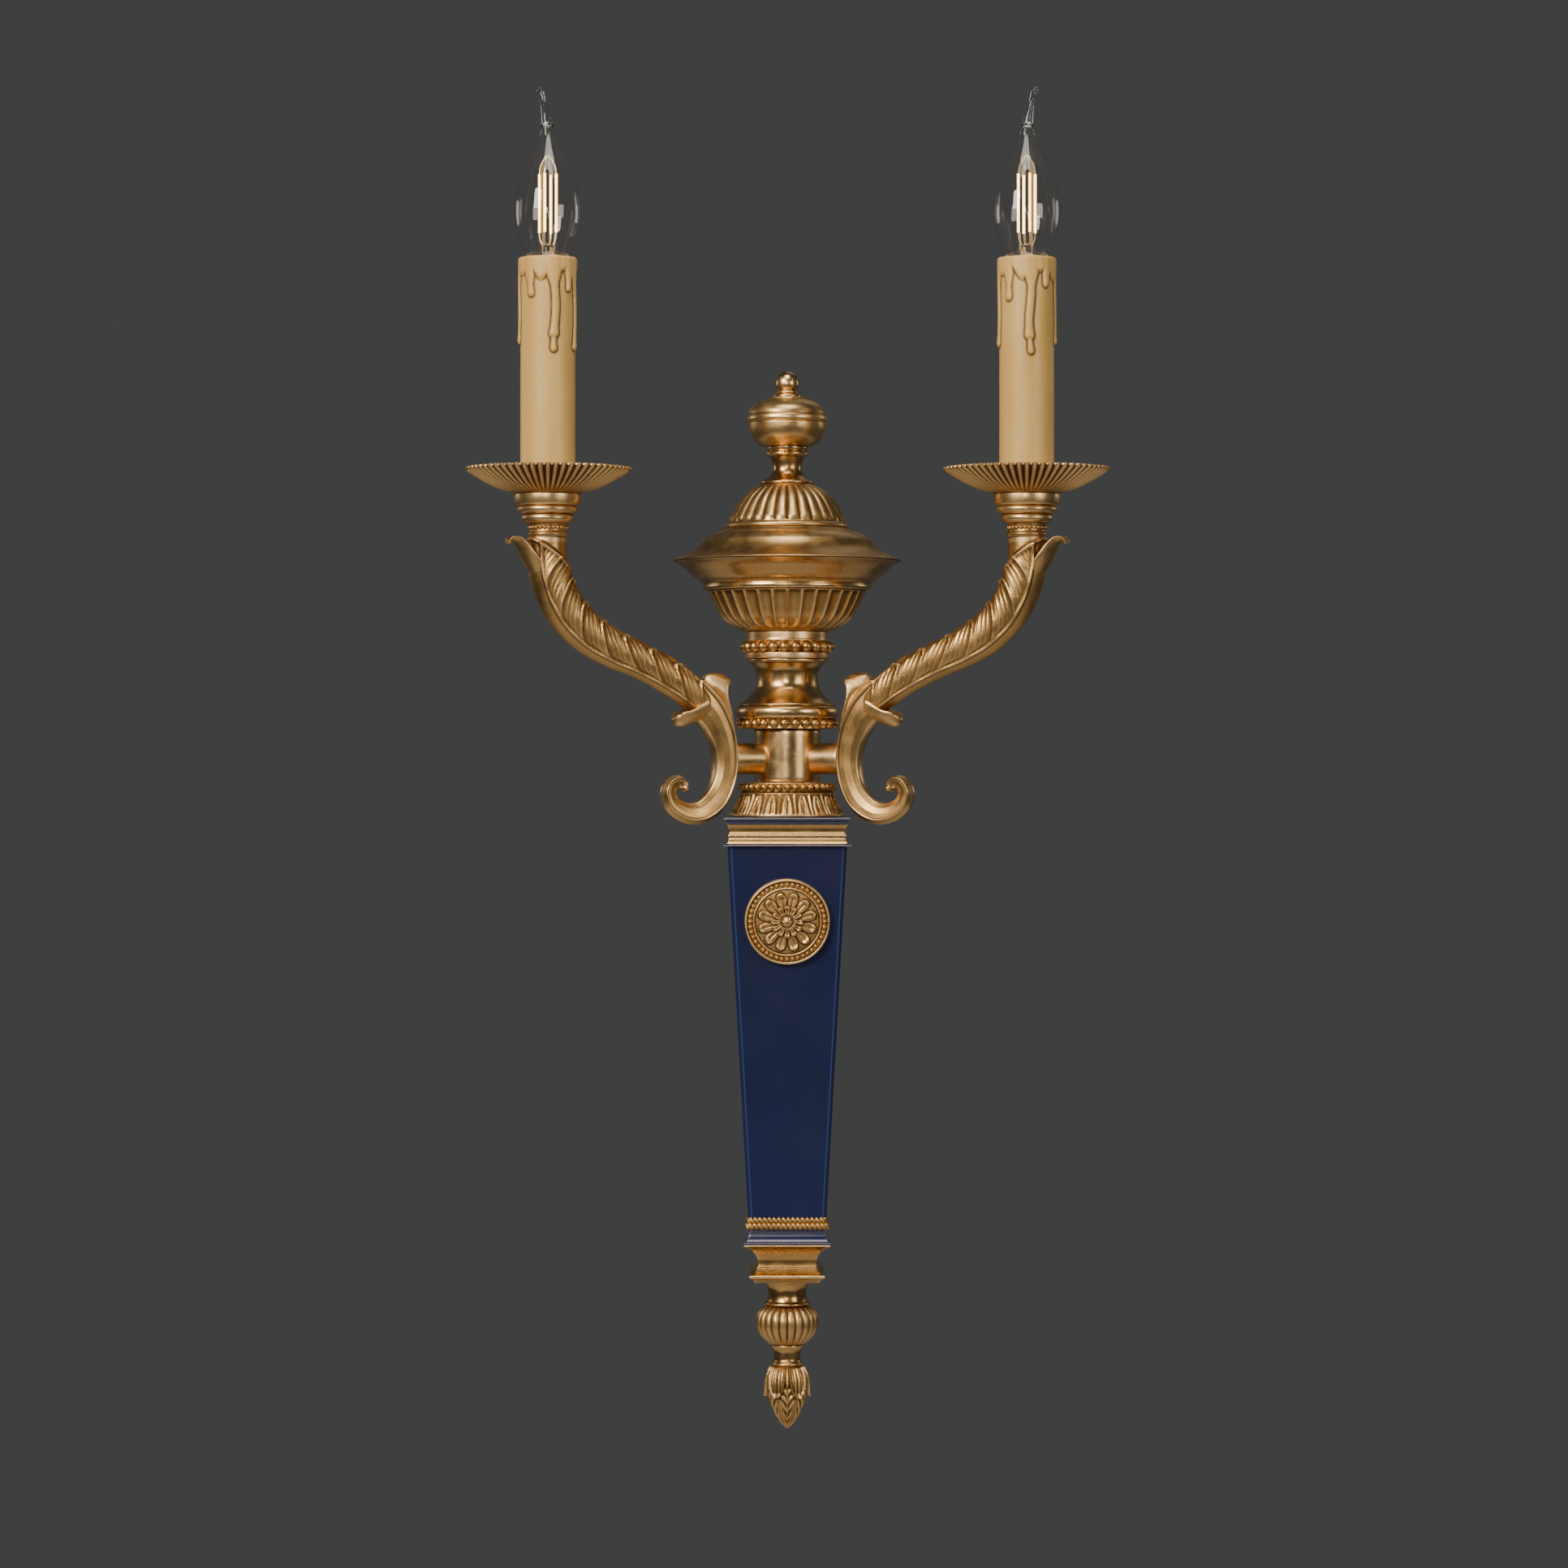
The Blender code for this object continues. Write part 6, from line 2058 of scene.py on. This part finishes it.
class KeptNodes:
    """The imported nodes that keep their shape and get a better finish."""

    SHARED = {
        Finish.STEEL: ("back_plate", "wall_bracket", "hanging_stud_upper", "hanging_stud_lower", "tie_rod"),
        Finish.PHENOLIC: ("terminal_block",),
    }
    BOTH_SIDES = {
        Finish.STEEL: ("arm_nut", "nipple", "pan_nut"),
        Finish.PHENOLIC: ("lampholder",),
        Finish.CABLE: ("wire",),
        Finish.SATIN: ("lamp_cap",),
    }

    def build(self) -> None:
        """Gives each node its finish."""
        for finish, parts in self.BOTH_SIDES.items():
            names = [f"{side.word}_{part}" for side in Side for part in parts]
            for name in (*self.SHARED.get(finish, ()), *names):
                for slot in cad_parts[name].material_slots:
                    slot.material = finish.material()
                LOG.info("%s: kept, in %s", name, finish.value.name)


@dataclass
class Studio:
    """Pale floor, soft boxes, a dim room and the camera."""

    room: float = 0.058
    eye: Colour = (-0.0017, -2.6, -0.0133)
    lens: float = 111.1
    floor_half: float = 1.2
    floor_level: float = -0.9

    CORNERS = ((-1.0, -1.0), (1.0, -1.0), (1.0, 1.0), (-1.0, 1.0))
    BOXES = (
        ("key", (-1.1, -1.6, 0.9), 0.8, 38.0, (1.0, 0.93, 0.83)),
        ("fill", (1.4, -1.5, 0.4), 0.7, 8.0, (1.0, 0.94, 0.86)),
        ("front", (-0.25, -2.3, 0.45), 0.35, 7.5, (1.0, 0.94, 0.85)),
        ("top", (0.0, -0.6, 1.3), 0.7, 8.0, (1.0, 0.95, 0.88)),
        ("back", (0.5, 1.6, 1.9), 1.2, 1.6, (1.0, 0.96, 0.90)),
        ("left_edge", (-1.5, 0.8, 0.4), 0.5, 1.3, (1.0, 0.90, 0.78)),
        ("right_edge", (1.5, 0.8, 0.4), 0.5, 1.0, (1.0, 0.90, 0.78)),
    )

    def build(self) -> None:
        """Makes the floor, the lights and the camera."""
        self.make_floor()
        world = bpy.data.worlds.new("room")
        bpy.context.scene.world = world
        world.use_nodes = True
        shade = world.node_tree.nodes["Background"]
        shade.inputs["Color"].default_value = (0.98, 0.99, 1.0, 1.0)
        shade.inputs["Strength"].default_value = self.room
        for box in self.BOXES:
            self.soft_box(*box)
        camera = bpy.data.cameras.new("camera")
        camera.lens = self.lens
        camera.sensor_width = 36.0
        camera.clip_start = 0.05
        holder = bpy.data.objects.new("camera", camera)
        holder.location = self.eye
        holder.rotation_euler = (math.pi / 2.0, 0.0, 0.0)
        bpy.context.scene.collection.objects.link(holder)
        bpy.context.scene.camera = holder

    def make_floor(self) -> None:
        """The pale floor under the sconce."""
        mesh = bpy.data.meshes.new("floor")
        corners = [(x * self.floor_half, y * self.floor_half, self.floor_level) for x, y in self.CORNERS]
        mesh.from_pydata(corners, [], [(0, 1, 2, 3)])
        floor = bpy.data.objects.new("floor", mesh)
        bpy.context.scene.collection.objects.link(floor)
        stuff = Plain("pale_floor", (0.62, 0.61, 0.59), "floor", 0.0, 0.8, 0.02, 60.0, 0.03)
        mesh.materials.append(stuff.build())

    def soft_box(self, name: str, place: Colour, size: float, power: float, colour: Colour) -> None:
        """Adds a square area light that faces the middle of the sconce.

        Args:
            name: The light's name.
            place: Its centre, in metres.
            size: Its side, in metres.
            power: Its power in watts.
            colour: Its colour.
        """
        light = bpy.data.lights.new(name, "AREA")
        light.size = size
        light.energy = power
        light.color = colour
        holder = bpy.data.objects.new(name, light)
        holder.location = place
        aim = Vector((0.0, -0.04, 0.0)) - Vector(place)
        holder.rotation_euler = aim.to_track_quat("-Z", "Y").to_euler()
        bpy.context.scene.collection.objects.link(holder)


def main() -> None:
    """Builds the studio and the sconce."""
    logging.basicConfig(level=logging.INFO, format="%(name)s %(message)s")
    Studio().build()
    beads = BeadTree()
    KeptNodes().build()
    ColumnTop(beads).build()
    Hub(beads).build()
    SquareCastings(beads).build()
    Pilaster(beads).build()
    Finial().build()
    for side in Side:
        Arm(side).build()
        LampStack(side, beads).build()


if __name__ == "__main__":
    main()
